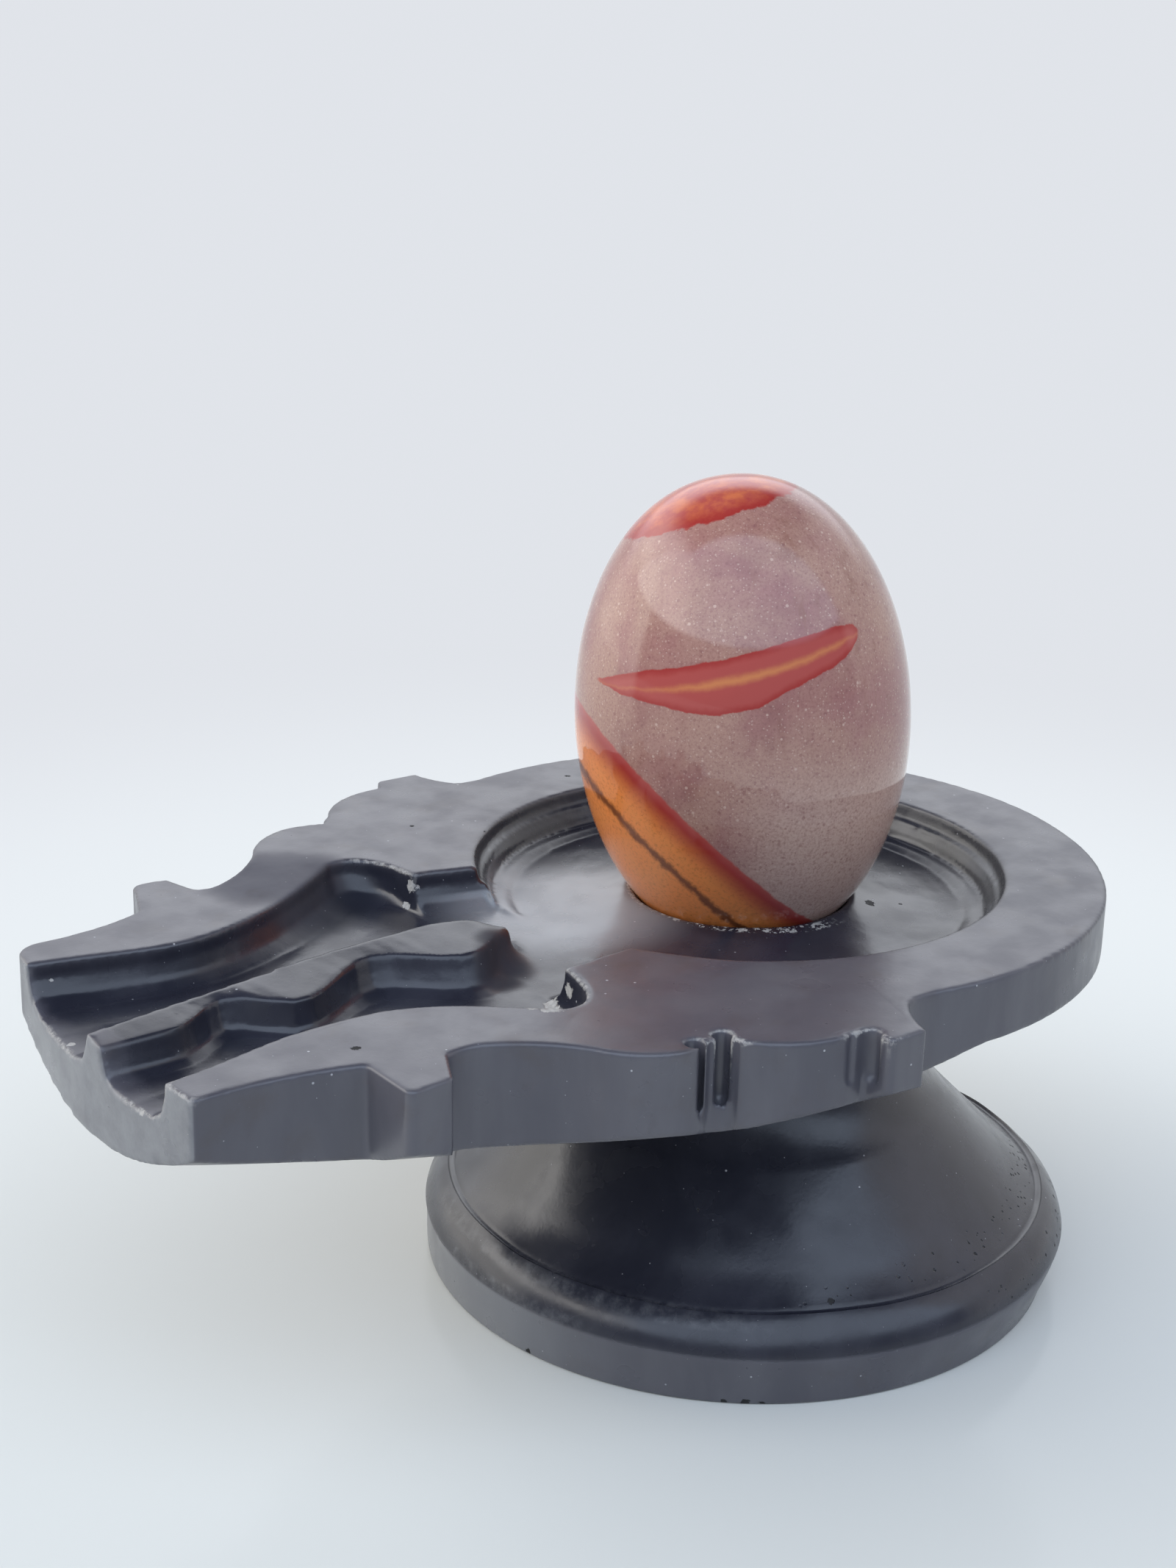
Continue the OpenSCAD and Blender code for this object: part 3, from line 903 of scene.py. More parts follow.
    @staticmethod
    def _facing(brush: Brush, centre: Flat, towards: float) -> tuple[Socket, Socket]:
        """Distance from an upright axis, and how far a place lies towards a direction.

        Args:
            brush: The started material.
            centre: The axis in plan.
            towards: The direction in degrees from +X.

        Returns:
            The distance and the cosine of the angle to the direction.
        """
        level = brush.node("ShaderNodeCombineXYZ")
        for socket, part, middle in zip(level.inputs, brush.split(brush.place), centre):
            brush.feed(socket, brush.minus(part, middle))
        turn = math.radians(towards)
        along = brush.vector("NORMALIZE", level.outputs[0])
        return (
            brush.vector("LENGTH", level.outputs[0]),
            brush.vector("DOT_PRODUCT", along, (math.cos(turn), math.sin(turn), 0.0)),
        )

    def _ring(self, brush: Brush, ring: Crumbs) -> Socket:
        """The mask of a broken ring of crumbs."""
        away, lean = self._facing(brush, ring.centre, ring.towards)
        _, _, z = brush.split(brush.place)
        off = brush.math("ABSOLUTE", brush.minus(away, ring.radius))
        near = brush.span(off, ring.width, ring.width / 2)
        low = brush.span(z, *[ring.height + part for part in self.crumb_top])
        side = brush.span(lean, *self.crumb_facing)
        return brush.times(near, low, side, brush.veil(self.crumbling))

    def _stretch(self, brush: Brush, band: Band) -> Socket:
        """The mask of a band, which fades towards its ends."""
        _, lean = self._facing(brush, (0.0, 0.0), band.towards)
        _, _, z = brush.split(brush.place)
        ends = [math.cos(math.radians(band.spread * share)) for share in (1.0, self.band_full)]
        rise = brush.span(z, band.low, band.low + self.soft_edge)
        fall = brush.span(z, band.high, band.high - self.soft_edge)
        return brush.times(brush.span(lean, *ends), brush.times(rise, fall))

    def _pinholes(self, brush: Brush, band: Band) -> Socket:
        """The mask of the pinholes inside a band."""
        dots = brush.mask(Grains(self.pinhole_scale, self.pinhole_size, band.share))
        return brush.times(self._stretch(brush, band), dots)

    def _scuff(self, brush: Brush, band: Band) -> Socket:
        """The mask of a rubbed stretch of a coat, with a painted highlight on it."""
        torn = brush.veil(self.scuffing)
        return brush.times(self._stretch(brush, band), torn, band.share)


@dataclass(frozen=True)
class JasperFinish:
    """Polished jasper: sandy taupe and mauve, cut by a red lens, an orange foot and a red cap.

    Layers are planes in the stone's own view of the front, in millimetres: x to the right, y to
    the back and z up.
    """

    centre: Point = (-2.2, 1.7, 99.7)
    turn: float = -37.55
    tan: Colour = (0.430, 0.245, 0.188)
    mauve: Colour = (0.352, 0.160, 0.144)
    plum: Colour = (0.235, 0.094, 0.088)
    sand: Colour = (0.62, 0.44, 0.36)
    bark: Colour = (0.265, 0.116, 0.082)
    red: Colour = (0.360, 0.036, 0.030)
    rose: Colour = (0.430, 0.076, 0.064)
    orange: Colour = (0.850, 0.265, 0.068)
    amber: Colour = (0.720, 0.300, 0.090)
    vein: Colour = (0.130, 0.038, 0.018)
    ior: float = 1.56
    polish: Veil = Veil(Noise(0.2, 5.0, 0.6), (0.3, 0.8, 0.03, 0.075))
    ragged: Noise = Noise(0.35, 5.0, 0.65)
    clouds: Cloud = Cloud(0.055, 0.38, 0.66)
    stain: Cloud = Cloud(0.13, 0.5, 0.78, 0.45)
    streaks: Veil = Veil(Noise(0.32, 5.0, 0.6, 0.5), (0.52, 0.72))
    streak_drawn: Point = (1.0, 1.0, 0.16)
    streak_share: float = 0.7
    upper_right: Sequence[float] = (-6.0, 8.0, 0.35, 1.0)
    upper_top: Sequence[float] = (-2.0, 12.0, 0.25, 1.0)
    lower_right: Flat = (-8.0, 8.0)
    lower_end: Flat = (4.0, -14.0)
    lower_share: float = 0.75
    fine: Veil = Veil(Noise(2.2, 3.0, 0.75), (0.4, 0.75, 0.0, 0.6))
    dark_grains: Grains = Grains(1.1, 0.36, 0.35, 0.45)
    pale_grains: Grains = Grains(2.1, 0.36, 0.5, 0.7)
    large_grains: Grains = Grains(0.8, 0.22, 0.4)
    grain_share: float = 0.62
    foot_normal: Point = (0.666, 0.057, 0.744)
    foot_from: float = -16.1
    foot_red: float = 5.8
    foot_rose: float = 1.6
    foot_rim: float = 0.8
    foot_wobble: float = 0.9
    foot_soft: float = 0.25
    foot_warm: Cloud = Cloud(0.1, 0.35, 0.7, 0.28)
    mottle: Veil = Veil(Noise(1.7, 3.0, 0.7), (0.45, 0.8, 0.0, 0.4))
    vein_at: float = -24.6
    vein_wobble: float = 1.6
    vein_span: Sequence[float] = (1.1, 0.15, 0.0, 0.85)
    cap_normal: Point = (-0.308, 0.099, 0.946)
    cap_from: float = 34.9
    cap_red: float = 2.4
    cap_wobble: float = 2.2
    cap_fire: Veil = Veil(Noise(0.3, 4.0, 0.6), (0.35, 0.7, 0.0, 0.42))
    cap_soft: float = 0.2
    lens_left: float = -25.0
    lens_right: float = 17.2
    lens_mid: float = 14.4
    lens_slope: float = 0.265
    lens_height: float = 5.2
    lens_front: float = 25.0
    lens_dip: float = 0.1
    lens_wobble: float = 1.1
    lens_depth: Flat = (-12.0, 6.0)
    lens_rose: Flat = (0.2, 1.6)
    lens_soft: float = 0.3
    lens_tip: float = 0.015
    lens_upper: Sequence[Flat] = (
        (0.0, 0.0), (0.08, 0.42), (0.2, 0.62), (0.45, 0.72),
        (0.72, 0.74), (0.9, 0.6), (0.97, 0.4), (1.0, 0.0),
    )
    lens_lower: Sequence[Flat] = (
        (0.0, 0.0), (0.1, 0.2), (0.3, 0.66), (0.48, 1.1), (0.6, 1.06),
        (0.72, 0.72), (0.9, 0.62), (0.97, 0.42), (1.0, 0.0),
    )
    streak_width: Sequence[Flat] = (
        (0.12, 0.0), (0.3, 0.25), (0.5, 0.6), (0.68, 0.4), (0.92, 0.3), (0.97, 0.0),
    )
    streak_gain: float = 1.6
    amber_span: Sequence[float] = (-0.5, 0.9, 0.0, 0.62)

    def make(self, name: str, effects: SharedEffects) -> Material:
        """Builds the stone's finish.

        Args:
            name: The material's name.
            effects: The shared node groups.

        Returns:
            The finished material.
        """
        brush = Brush(name, effects)
        front = brush.node("ShaderNodeMapping", vector_type="TEXTURE")
        turn = (0.0, 0.0, math.radians(self.turn))
        brush.fill(front, Vector=brush.place, Location=self.centre, Rotation=turn)
        brush.place = front.outputs[0]
        ragged = brush.minus(brush.noise(self.ragged), 0.5)
        colour = self._ground(brush)
        colour = self._foot(brush, ragged, colour)
        colour = self._cap(brush, ragged, colour)
        colour = self._lens(brush, ragged, colour)
        brush.coat(colour, brush.veil(self.polish))
        brush.shader.inputs["IOR"].default_value = self.ior
        return brush.material

    def _ground(self, brush: Brush) -> Socket:
        """Cloudy taupe and mauve with bark-like streaks and sand grains."""
        x, _, z = brush.split(brush.place)
        colour = brush.mix(brush.mask(self.clouds), self.tan, self.mauve)
        colour = brush.mix(brush.mask(self.stain), colour, self.plum)
        streaks = brush.veil(self.streaks, brush.drawn(self.streak_drawn))
        upper = brush.times(brush.span(x, *self.upper_right), brush.span(z, *self.upper_top))
        colour = brush.mix(brush.times(streaks, upper, self.streak_share), colour, self.bark)
        lower = brush.times(brush.span(x, *self.lower_right), brush.span(z, *self.lower_end))
        colour = brush.mix(brush.times(lower, self.lower_share), colour, self.sand)
        for dark in (brush.veil(self.fine), brush.mask(self.dark_grains)):
            colour = brush.mix(dark, colour, self.plum)
        pale = brush.largest(brush.mask(self.pale_grains), brush.mask(self.large_grains))
        return brush.mix(brush.times(pale, self.grain_share), colour, self.sand)

    @staticmethod
    def _layer(brush: Brush, normal: Point, ragged: Socket, wobble: float) -> Socket:
        """Height across a layered plane, with a slightly ragged edge."""
        across = brush.vector("DOT_PRODUCT", brush.place, normal)
        return brush.plus(across, brush.times(ragged, wobble))

    def _foot(self, brush: Brush, ragged: Socket, colour: Socket) -> Socket:
        """The orange foot with its red border and thin brown vein."""
        edge = self.foot_from
        height = self._layer(brush, self.foot_normal, ragged, self.foot_wobble)
        orange = brush.mix(brush.mask(self.foot_warm), self.orange, self.amber)
        orange = brush.mix(brush.veil(self.mottle), orange, self.vein)
        border = brush.mix(brush.span(height, edge - self.foot_rose, edge), self.red, self.rose)
        inner = brush.span(height, edge - self.foot_red, edge - self.foot_rim)
        foot = brush.mix(inner, orange, border)
        off = brush.minus(brush.plus(height, brush.times(ragged, self.vein_wobble)), self.vein_at)
        vein = brush.span(brush.math("ABSOLUTE", off), *self.vein_span)
        foot = brush.mix(vein, foot, self.vein)
        inside = brush.span(height, edge + self.foot_soft, edge - self.foot_soft)
        return brush.mix(inside, colour, foot)

    def _cap(self, brush: Brush, ragged: Socket, colour: Socket) -> Socket:
        """The red and orange cap near the top."""
        edge = self.cap_from
        height = self._layer(brush, self.cap_normal, ragged, self.cap_wobble)
        fire = brush.mix(brush.veil(self.cap_fire), self.rose, self.orange)
        inner = brush.span(height, edge + self.cap_soft, edge + self.cap_red)
        cap = brush.mix(inner, self.red, fire)
        inside = brush.span(height, edge - self.cap_soft, edge + self.cap_soft)
        return brush.mix(inside, colour, cap)

    def _lens(self, brush: Brush, ragged: Socket, colour: Socket) -> Socket:
        """The red lens across the front with its amber streak, which ends before the back."""
        x, y, z = brush.split(brush.place)
        reach = self.lens_right - self.lens_left
        along = brush.math("DIVIDE", brush.minus(x, self.lens_left), reach, clamp=True)
        axis = brush.plus(brush.times(x, self.lens_slope), self.lens_mid)
        dip = brush.times(brush.plus(y, self.lens_front), self.lens_dip)
        off = brush.minus(brush.minus(z, axis), dip)
        off = brush.plus(off, brush.times(ragged, self.lens_wobble))
        tall = brush.span(y, *self.lens_depth, self.lens_height, 0.0)
        above = brush.minus(brush.times(brush.curve(along, self.lens_upper), tall), off)
        below = brush.plus(brush.times(brush.curve(along, self.lens_lower), tall), off)
        rim = brush.math("MINIMUM", above, below)
        first = brush.span(along, 0.0, self.lens_tip)
        last = brush.span(along, 1.0, 1.0 - self.lens_tip)
        body = brush.mix(brush.span(rim, *self.lens_rose), self.red, self.rose)
        width = brush.times(brush.curve(along, self.streak_width), self.streak_gain)
        streak = brush.minus(width, brush.math("ABSOLUTE", off))
        body = brush.mix(brush.span(streak, *self.amber_span), body, self.amber)
        shown = brush.times(brush.span(rim, 0.0, self.lens_soft), brush.times(first, last))
        return brush.mix(shown, colour, body)


@dataclass(frozen=True)
class AdhesiveFinish:
    """Set adhesive: matt, greyed and uneven."""

    pale: Colour = (0.36, 0.34, 0.30)
    grey: Colour = (0.16, 0.155, 0.15)
    tone: Cloud = Cloud(0.25, 0.35, 0.7)
    grit: Grains = Grains(0.7, 0.3, 0.3, 0.5)
    rough: Flat = (0.5, 0.8)
    relief: Noise = Noise(0.9, 4.0, 0.6)
    bump_depth: float = 0.2 * MM
    bump_strength: float = 0.5

    def make(self, name: str, effects: SharedEffects) -> Material:
        """Builds the adhesive's finish.

        Args:
            name: The material's name.
            effects: The shared node groups.

        Returns:
            The finished material.
        """
        brush = Brush(name, effects)
        tone = brush.mask(self.tone)
        colour = brush.mix(tone, self.pale, self.grey)
        colour = brush.mix(brush.mask(self.grit), colour, self.grey)
        brush.coat(colour, brush.span(tone, 0.0, 1.0, *self.rough))
        brush.bump(brush.noise(self.relief), self.bump_depth, self.bump_strength)
        return brush.material


@dataclass
class Pedestal:
    """The flared round pedestal: plinth, shoulder, groove, skirt, waist and neck.

    Sizes are in millimetres, but ripples and their levels in metres.
    """

    foot_r: float = 56.0
    foot_edge: float = 0.7
    foot_bow: float = 0.2
    foot_rings: Sequence[float] = (0.3, 0.6, 0.9)
    plinth_r: float = 57.6
    plinth_h: float = 9.0
    plinth_lean: float = 1.2
    lean_to: float = -37.5
    shoulder_bow: float = 0.72
    groove_r: float = 52.9
    groove_z: float = 15.2
    groove_half: float = 0.7
    groove_depth: float = 0.34
    flare: Flat = (47.2, 19.5)
    flare_bow: float = 0.17
    skirt_top_r: float = 36.0
    skirt_h: float = 16.5
    waist_h: float = 12.0
    waist_bow: float = 1.2
    neck_r: float = 29.0
    neck_top: float = 53.4
    neck_ring: float = 0.5
    segments: int = 288
    crest: Ripple = Ripple(20 * MM, 0.9 * MM, Push.UP)
    crest_levels: Sequence[Flat] = ((8 * MM, 14 * MM), (16 * MM, 24 * MM))
    skirt: Ripple = Ripple(40 * MM, 0.12 * MM)
    skirt_levels: Sequence[Flat] = ((8 * MM, 14 * MM), (45 * MM, 52 * MM))
    edge_gain: float = 2.2
    crease: float = math.radians(60)
    finish: CastingFinish = field(default_factory=CastingFinish)
    flaws: FlawsAndSheen = FlawsAndSheen(
        pits=(
            Spot((-31.0, -26.0, 26.0), 0.6, 1.4), Spot((-20.5, -47.4, 15.8), 0.7, 1.4),
            Spot((-55.1, -11.6, 0.6), 0.9), Spot((-37.6, -41.9, 0.3), 1.0),
            Spot((-35.0, -44.0, 0.2), 1.2), Spot((-32.8, -45.7, 0.3), 0.8),
        ),
        pinholes=(
            Band(15.4, 19.2, -60.0, 42.0, 0.5), Band(15.3, 17.6, -92.0, 30.0, 0.25),
            Band(9.4, 13.8, -56.0, 32.0, 0.42),
        ),
        # Scuffs on the left of the shoulder crest and the plinth edge: rubbed, and partly a painted
        # highlight.
        scuffs=(Band(12.8, 15.4, -166.0, 46.0, 0.32), Band(8.6, 11.4, -174.0, 22.0, 0.35)),
        # Painted light: the left side of the plinth wall made paler, as if lit and reflecting the
        # floor.
        films=(PaintedSheen((-54.0, 16.0, 4.0), 52.0, 8.6, 0.55),),
        rubbed=0.12,
        oiled_from=8.8,
    )

    def build(self) -> Piece:
        """Turns the pedestal and gives it a hand-cast surface.

        Returns:
            The pedestal's mesh.
        """
        rings = self.profile()
        piece = Bench.turned(
            "pedestal_casting",
            [(r * MM, z * MM) for r, z in rings],
            [tuple(part * MM for part in self.drift(z)) for _, z in rings],
            self.segments,
        )
        for ripple, levels in ((self.crest, self.crest_levels), (self.skirt, self.skirt_levels)):
            Bench.ripple(piece, ripple, Bench.group_level(piece, *levels))
        Bench.mark_edges(piece, self.edge_gain)
        Bench.take(piece)
        bpy.ops.object.shade_smooth_by_angle(angle=self.crease)
        return piece

    def drift(self, height: float) -> Flat:
        """How far the hand-finished plinth leans off the axis at a height."""
        faded = smooth_step((height - self.groove_z) / self.skirt_h)
        share = smooth_step(height / self.plinth_h) * (1 - faded)
        turn = math.radians(self.lean_to)
        return tuple(self.plinth_lean * share * part for part in (math.cos(turn), math.sin(turn)))

    def profile(self) -> list[Flat]:
        """Radius and height of each ring, from the foot to the neck's top."""
        inner = (self.groove_r - self.groove_half, self.groove_z)
        outer = (self.groove_r + self.groove_half, self.groove_z)
        waist_z = self.groove_z + self.skirt_h
        foot = (self.foot_r, self.foot_edge)
        plinth = (self.plinth_r, self.plinth_h)
        waist = (self.skirt_top_r, waist_z)
        neck = (self.neck_r, waist_z + self.waist_h)
        top = (self.neck_r, self.neck_top)
        rings = [(self.foot_r * share, 0.0) for share in self.foot_rings]
        rings += self.arc((self.foot_r - self.foot_edge, 0.0), foot, self.foot_bow, steps=4)
        rings += self.line(foot, plinth, steps=10)
        rings += self.arc(plinth, outer, self.shoulder_bow, steps=20)
        rings += self.arc(outer, inner, -self.groove_depth, steps=10)
        rings += self.arc(inner, self.flare, -self.flare_bow, steps=10)
        rings += self.line(self.flare, waist, steps=22)
        rings += self.arc(waist, neck, -self.waist_bow, steps=14)
        rings += self.line(neck, top, steps=8)
        rings += [top, (self.neck_r * self.neck_ring, self.neck_top)]
        return rings

    @staticmethod
    def line(start: Flat, end: Flat, steps: int) -> list[Flat]:
        """Even points from start to end, without the end."""
        return [tuple(a + (b - a) * i / steps for a, b in zip(start, end)) for i in range(steps)]

    @staticmethod
    def arc(start: Flat, end: Flat, bow: float, steps: int) -> list[Flat]:
        """Points of an arc that bows outwards to the right of its way, without the end.

        Args:
            start: First point.
            end: Last point.
            bow: Height of the arc over its chord, negative for a hollow.
            steps: Number of stretches.

        Returns:
            The points.
        """
        p, q = Vector(start), Vector(end)
        chord = (q - p).length
        right = Vector((q.y - p.y, p.x - q.x)) / chord
        radius = (chord * chord / 4 + bow * bow) / (2 * bow)
        centre = (p + q) / 2 + right * (bow - radius)
        begin = math.atan2(p.y - centre.y, p.x - centre.x)
        sweep = math.copysign(2 * math.asin(chord / 2 / abs(radius)), bow)
        turns = [begin + sweep * i / steps for i in range(steps)]
        size = abs(radius)
        return [(centre.x + size * math.cos(t), centre.y + size * math.sin(t)) for t in turns]

    def dress(self, piece: Piece, effects: SharedEffects) -> None:
        """Coats the pedestal and sets it in place of its CAD node."""
        coat = self.finish.make("black_coat_pedestal", effects, self.flaws)
        Bench.dress(piece, coat, Body.STAND, Slot.CASTING)
        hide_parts("pedestal")


@dataclass
class YoniPlate:
    """The cusped plate with its basin, bays, channels and ridge.

    Sizes are in metres, the casting's faults and painted sheen in millimetres.
    """

    voxel: float = 0.5 * MM
    soften: int = 2
    keep: float = 0.42
    floor_at: Point = (-30 * MM, 5 * MM, 67.5 * MM)
    brim: float = 73.0 * MM
    mouth: float = -122.4 * MM
    gate_at: Point = (-46 * MM, 4 * MM, 66.9 * MM)
    gate_reach: float = 15 * MM
    gate_top: float = 69.5 * MM
    gate_rounds: int = 250
    root_at: Point = (-50 * MM, 0 * MM, 70 * MM)
    root_reach: float = 9 * MM
    root_rounds: int = 25
    hand: Ripple = Ripple(10 * MM, 0.22 * MM)
    ripple: Ripple = Ripple(16 * MM, 0.25 * MM)
    edge_gain: float = 2.6
    finish: CastingFinish = field(default_factory=CastingFinish)
    flaws: FlawsAndSheen = FlawsAndSheen(
        chips=(
            Spot((-52.7, 26.8, 71.0), 1.3), Spot((-53.0, 27.3, 67.4), 1.2),
            Spot((-66.6, -32.2, 73.2), 2.4), Spot((-68.8, -30.4, 73.2), 1.3),
            Spot((-124.0, 9.5, 66.6), 0.8), Spot((-126.0, -16.2, 66.6), 1.0),
            Spot((-119.8, 25.0, 70.2), 0.6), Spot((-63.4, 37.0, 66.6), 0.6),
            Spot((-56.4, -22.8, 70.2), 1.4, 1.4), Spot((-56.8, -18.8, 66.8), 1.6),
            Spot((-57.6, -20.4, 67.0), 1.1),
        ),
        worn=(
            Spot((-56.6, -26.0, 73.3), 7.0), Spot((-62.0, -31.5, 73.3), 5.0),
            Spot((-53.6, 33.5, 73.3), 9.0), Spot((-124.0, 12.0, 67.5), 9.0),
            Spot((-126.0, -17.0, 67.5), 9.0), Spot((-125.0, -25.0, 73.3), 6.0),
            Spot((-51.8, -54.0, 73.3), 6.0), Spot((-33.3, -65.5, 73.3), 6.0),
        ),
        pits=(
            Spot((-39.6, 47.1, 73.3), 0.5, 1.4), Spot((-30.0, 37.9, 73.3), 0.4, 1.4),
            Spot((1.2, 55.1, 73.3), 0.6, 1.4), Spot((29.8, -3.7, 67.5), 0.5, 1.4),
            Spot((31.3, -11.2, 67.5), 0.8, 1.4), Spot((18.4, -18.8, 67.5), 0.6, 1.4),
            Spot((13.1, -16.9, 68.3), 1.3, 1.1), Spot((-97.9, -28.1, 73.3), 0.8, 1.4),
            Spot((-17.4, 44.2, 73.2), 0.6, 1.4),
        ),
        crumbs=(Crumbs((-0.2, 0.2), 20.4, 1.3, 68.3, 200.0),),
        # Painted reflection: a pale sheen on the basin floor by the gate.
        films=(PaintedSheen((-31.0, 13.0, 67.5), 27.0, 69.0, 0.8),),
        dull=(
            Spot((-54.6, -4.0, 69.8), 7.0), Spot((-58.5, -6.5, 68.5), 6.0),
            Spot((-73.0, 37.5, 70.5), 16.0),
        ),
        rubbed=0.06,
        # The spout's end face: ground, and painted paler as a reflection.
        pale_end=-125.5,
    )

    def build(self) -> Piece:
        """Softens a copy of the CAD plate as a dipped coat does.

        Returns:
            The plate's mesh.
        """
        piece = Bench.copy_of("yoni_plate", "plate_casting")
        Bench.apply(piece, "REMESH", mode="VOXEL", voxel_size=self.voxel, use_smooth_shade=True)
        Bench.even(piece, self.soften)
        Bench.apply(piece, "DECIMATE", ratio=self.keep)
        recess = Bench.mark_recess(piece, self.floor_at, self.brim, self.mouth)
        gate = Bench.group_round(piece, self.gate_at, self.gate_reach, self.gate_top)
        Bench.even(piece, self.gate_rounds, gate)
        root_top = self.root_at[2] + self.root_reach
        root = Bench.group_round(piece, self.root_at, self.root_reach, root_top)
        Bench.even(piece, self.root_rounds, root)
        Bench.ripple(piece, self.ripple)
        Bench.ripple(piece, self.hand, recess)
        Bench.mark_edges(piece, self.edge_gain)
        return Bench.smooth(piece)

    def dress(self, piece: Piece, effects: SharedEffects) -> None:
        """Coats the plate and sets it in place of its CAD node."""
        coat = self.finish.make("black_coat_plate", effects, self.flaws)
        Bench.dress(piece, coat, Body.STAND, Slot.CASTING)
        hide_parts("yoni_plate")


@dataclass
class AdhesiveBed:
    """The bed of adhesive between neck and plate, squeezed out a little.

    Sizes are in millimetres, but the ripple in metres.
    """

    ring_r: float = 28.3
    bead_r: float = 0.75
    squeeze: float = 0.45
    mid_z: float = 53.7
    round_segments: int = 180
    bead_segments: int = 16
    ripple: Ripple = Ripple(4 * MM, 0.3 * MM)
    finish: AdhesiveFinish = field(default_factory=AdhesiveFinish)

    def build(self) -> Piece:
        """Models the bead as a flattened, uneven ring.

        Returns:
            The bead's mesh.
        """
        Bench.clear()
        bpy.ops.mesh.primitive_torus_add(
            major_segments=self.round_segments, major_radius=self.ring_r * MM,
            minor_segments=self.bead_segments, minor_radius=self.bead_r * MM,
        )
        piece = bpy.context.object
        piece.name = "adhesive_bead"
        with Bench.editing(piece):
            bpy.ops.transform.resize(value=(1.0, 1.0, self.squeeze))
            bpy.ops.transform.translate(value=(0.0, 0.0, self.mid_z * MM))
        Bench.ripple(piece, self.ripple)
        return Bench.smooth(piece)

    def dress(self, piece: Piece, effects: SharedEffects) -> None:
        """Finishes the bead and sets it in place of its CAD node."""
        paste = self.finish.make("set_adhesive", effects)
        Bench.dress(piece, paste, Body.STAND, Slot.ADHESIVE)
        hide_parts("adhesive_bed")


@dataclass
class LingamStone:
    """The loose polished stone.

    Sizes are in millimetres and angles in degrees, but the ripple in metres.
    """

    radius: float = 28.65
    length: float = 82.2
    fullness: float = 0.93
    centre: Point = (-2.0, 1.7, 99.7)
    lean: float = 3.5
    lean_to: float = 144.0
    pole: float = 89.4
    rings: int = 110
    segments: int = 160
    ripple: Ripple = Ripple(30 * MM, 0.25 * MM)
    finish: JasperFinish = field(default_factory=JasperFinish)

    def build(self) -> Piece:
        """Turns the egg ring by ring, leans it and sets it in its socket.

        Returns:
            The stone's mesh.
        """
        turns = [math.radians(self.pole * (2 * i / self.rings - 1)) for i in range(self.rings + 1)]
        profile = [
            (self.radius * math.cos(t) ** self.fullness * MM, self.length / 2 * math.sin(t) * MM)
            for t in turns
        ]
        piece = Bench.turned("jasper_stone", profile, [(0.0, 0.0)] * len(profile), self.segments)
        with Bench.editing(piece):
            for turn, axis in ((self.lean, "Y"), (self.lean_to, "Z")):
                bpy.ops.transform.rotate(
                    value=-math.radians(turn), orient_axis=axis, center_override=(0.0, 0.0, 0.0)
                )
            bpy.ops.transform.translate(value=Vector(self.centre) * MM)
        Bench.ripple(piece, self.ripple)
        return Bench.smooth(piece)

    def dress(self, piece: Piece, effects: SharedEffects) -> None:
        """Polishes the stone and sets it in place of its CAD node."""
        Bench.dress(piece, self.finish.make("polished_jasper", effects), Body.STONE, Slot.JASPER)
        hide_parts("lingam_stone")


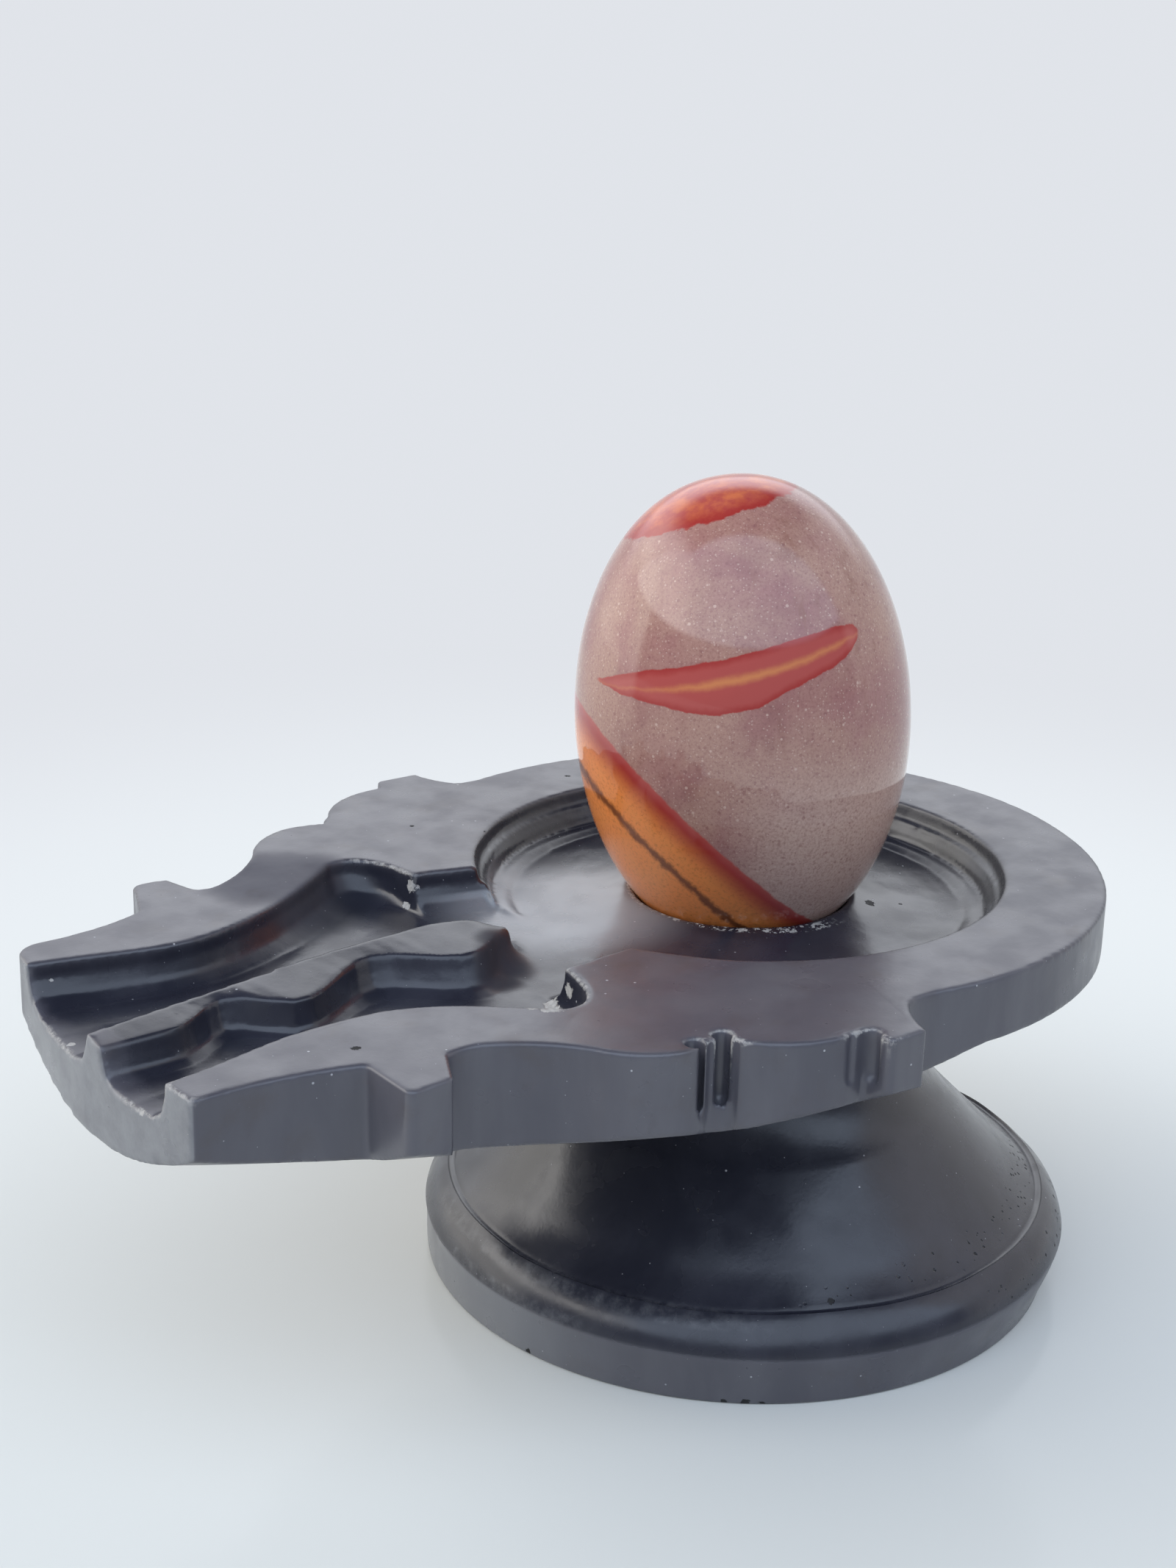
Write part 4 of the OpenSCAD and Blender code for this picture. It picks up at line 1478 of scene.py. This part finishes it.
@dataclass
class Studio:
    """Pale floor, soft light all round and a camera at the photograph's angle.

    The light is set out as the camera sees it: x to the right, y to the back, z up. Turns are
    spans of a direction's x or y, and rises are spans of its z.
    """

    camera_place: Point = (-0.25766, -0.28818, 0.21330)
    heading: float = math.radians(37.549)
    pitch: float = 0.3179
    roll: float = -0.0245
    focal_px: float = 3200.0
    image: tuple[int, int] = (1600, 2133)
    floor_half: float = 60.0
    floor_colour: Colour = (0.735, 0.74, 0.70)
    backdrop: Colour = (0.75, 0.775, 0.82)
    floor_ends: Flat = (0.12, 0.42)
    floor_shade: Noise = Noise(0.004, 3.0, 0.5)
    floor_dim: float = 0.97
    floor_rough: float = 0.16
    floor_ior: float = 1.18
    wall_back: Colour = (0.85, 0.87, 0.90)
    back_sky: Colour = (1.82, 1.87, 1.97)
    wall_left: Colour = (2.10, 2.05, 1.95)
    wall_right: Colour = (0.84, 0.83, 0.83)
    left_sky: Colour = (3.00, 2.92, 2.80)
    right_sky: Colour = (1.00, 0.98, 1.00)
    front_low: Colour = (0.25, 0.27, 0.32)
    sky_left: Colour = (3.80, 3.72, 3.60)
    sky_mid: Colour = (1.40, 1.64, 2.02)
    roof: Colour = (0.05, 0.055, 0.07)
    wall_turn: Flat = (-0.7, 0.7)
    upper_turn: Flat = (-0.74, -0.4)
    upper_rise: Flat = (0.34, 0.5)
    back_rise: Flat = (0.18, 0.34)
    back_turn: Flat = (0.5, 0.85)
    eaves: Sequence[float] = (0.0, 0.6, 0.7, 0.57)
    eaves_soft: float = 0.2
    front_turn: Flat = (-0.1, -0.22)
    front_wide: Sequence[float] = (-0.55, -0.9, 0.0, 0.5)
    sky_turn: Flat = (-0.8, -0.5)
    sky_rise: Flat = (0.34, 0.39)
    sensor: float = 36.0
    nearest: float = 0.01

    def build(self, effects: SharedEffects) -> None:
        """Sets up the floor, the light and the camera."""
        self._floor(effects)
        self._light()
        self._camera()
        bpy.context.scene.view_settings.view_transform = "Standard"

    def _floor(self, effects: SharedEffects) -> None:
        """Lays a pale floor with a faint sheen that runs into the backdrop far from the object."""
        Bench.clear()
        bpy.ops.mesh.primitive_plane_add(size=2 * self.floor_half)
        floor = bpy.context.object
        floor.name = "pale_floor"
        brush = Brush("pale_floor", effects)
        dim = tuple(part * self.floor_dim for part in self.floor_colour)
        shade = brush.mix(brush.noise(self.floor_shade), self.floor_colour, dim)
        brush.coat(shade, self.floor_rough)
        brush.shader.inputs["IOR"].default_value = self.floor_ior
        away = brush.vector("LENGTH", brush.node("ShaderNodeTexCoord").outputs["Object"])
        rays = brush.node("ShaderNodeLightPath")
        far = brush.times(brush.span(away, *self.floor_ends), rays.outputs["Is Camera Ray"])
        plain = brush.node("ShaderNodeEmission")
        brush.feed(plain.inputs["Color"], self.backdrop)
        blend = brush.node("ShaderNodeMixShader")
        for socket, value in zip(blend.inputs, (far, brush.shader.outputs[0], plain.outputs[0])):
            brush.feed(socket, value)
        brush.feed(brush.tree.nodes["Material Output"].inputs["Surface"], blend.outputs[0])
        floor.data.materials.append(brush.material)

    def _light(self) -> None:
        """Makes the soft surround: pale walls, a bright front over a dim horizon, a dark roof."""
        world = bpy.data.worlds.new("soft_surround")
        bpy.context.scene.world = world
        world.use_nodes = True
        graph = Graph(world.node_tree)
        turn = graph.node("ShaderNodeMapping", vector_type="POINT")
        around = graph.node("ShaderNodeTexCoord").outputs["Generated"]
        graph.fill(turn, Vector=around, Rotation=(0.0, 0.0, self.heading))
        x, y, z = graph.split(turn.outputs[0])
        walls = graph.mix(graph.span(x, *self.wall_turn), self.wall_left, self.wall_right)
        upper = graph.mix(graph.span(x, *self.upper_turn), self.left_sky, self.right_sky)
        walls = graph.mix(graph.span(z, *self.upper_rise), walls, upper)
        back = graph.mix(graph.span(z, *self.back_rise), self.wall_back, self.back_sky)
        walls = graph.mix(graph.span(y, *self.back_turn), walls, back)
        eaves = graph.span(y, *self.eaves)
        above = graph.span(z, eaves, graph.plus(eaves, self.eaves_soft))
        walls = graph.mix(above, walls, self.roof)
        colour = graph.mix(graph.span(y, *self.front_turn), walls, self.front_low)
        open_to = graph.minus(y, graph.span(x, *self.front_wide))
        sky = graph.mix(graph.span(x, *self.sky_turn), self.sky_left, self.sky_mid)
        seen = graph.times(graph.span(open_to, *self.front_turn), graph.span(z, *self.sky_rise))
        colour = graph.mix(seen, colour, sky)
        rays = graph.node("ShaderNodeLightPath")
        colour = graph.mix(rays.outputs["Is Camera Ray"], colour, self.backdrop)
        graph.feed(world.node_tree.nodes["Background"].inputs["Color"], colour)

    def _camera(self) -> None:
        """Places the camera from its heading, pitch and roll."""
        ahead = Vector((
            math.sin(self.heading) * math.cos(self.pitch),
            math.cos(self.heading) * math.cos(self.pitch),
            -math.sin(self.pitch),
        ))
        level = Vector((math.cos(self.heading), -math.sin(self.heading), 0.0))
        down = ahead.cross(level)
        right = math.cos(self.roll) * level + math.sin(self.roll) * down
        up = math.sin(self.roll) * level - math.cos(self.roll) * down
        data = bpy.data.cameras.new("photo_angle")
        data.sensor_width = self.sensor
        data.lens = self.focal_px * data.sensor_width / max(self.image)
        data.clip_start, data.clip_end = self.nearest, 4 * self.floor_half
        camera = bpy.data.objects.new("photo_angle", data)
        bpy.context.scene.collection.objects.link(camera)
        turn = Matrix((right, up, -ahead)).transposed().to_4x4()
        camera.matrix_world = Matrix.Translation(self.camera_place) @ turn
        bpy.context.scene.camera = camera


def main() -> None:
    """Builds and dresses each piece, then the studio."""
    logging.basicConfig(level=logging.INFO, format="%(message)s")
    effects = SharedEffects()
    for part in (Pedestal(), AdhesiveBed(), YoniPlate(), LingamStone()):
        piece = part.build()
        part.dress(piece, effects)
        LOG.info("%s: %d faces", piece.name, len(piece.data.polygons))
    Studio().build(effects)


if __name__ == "__main__":
    main()
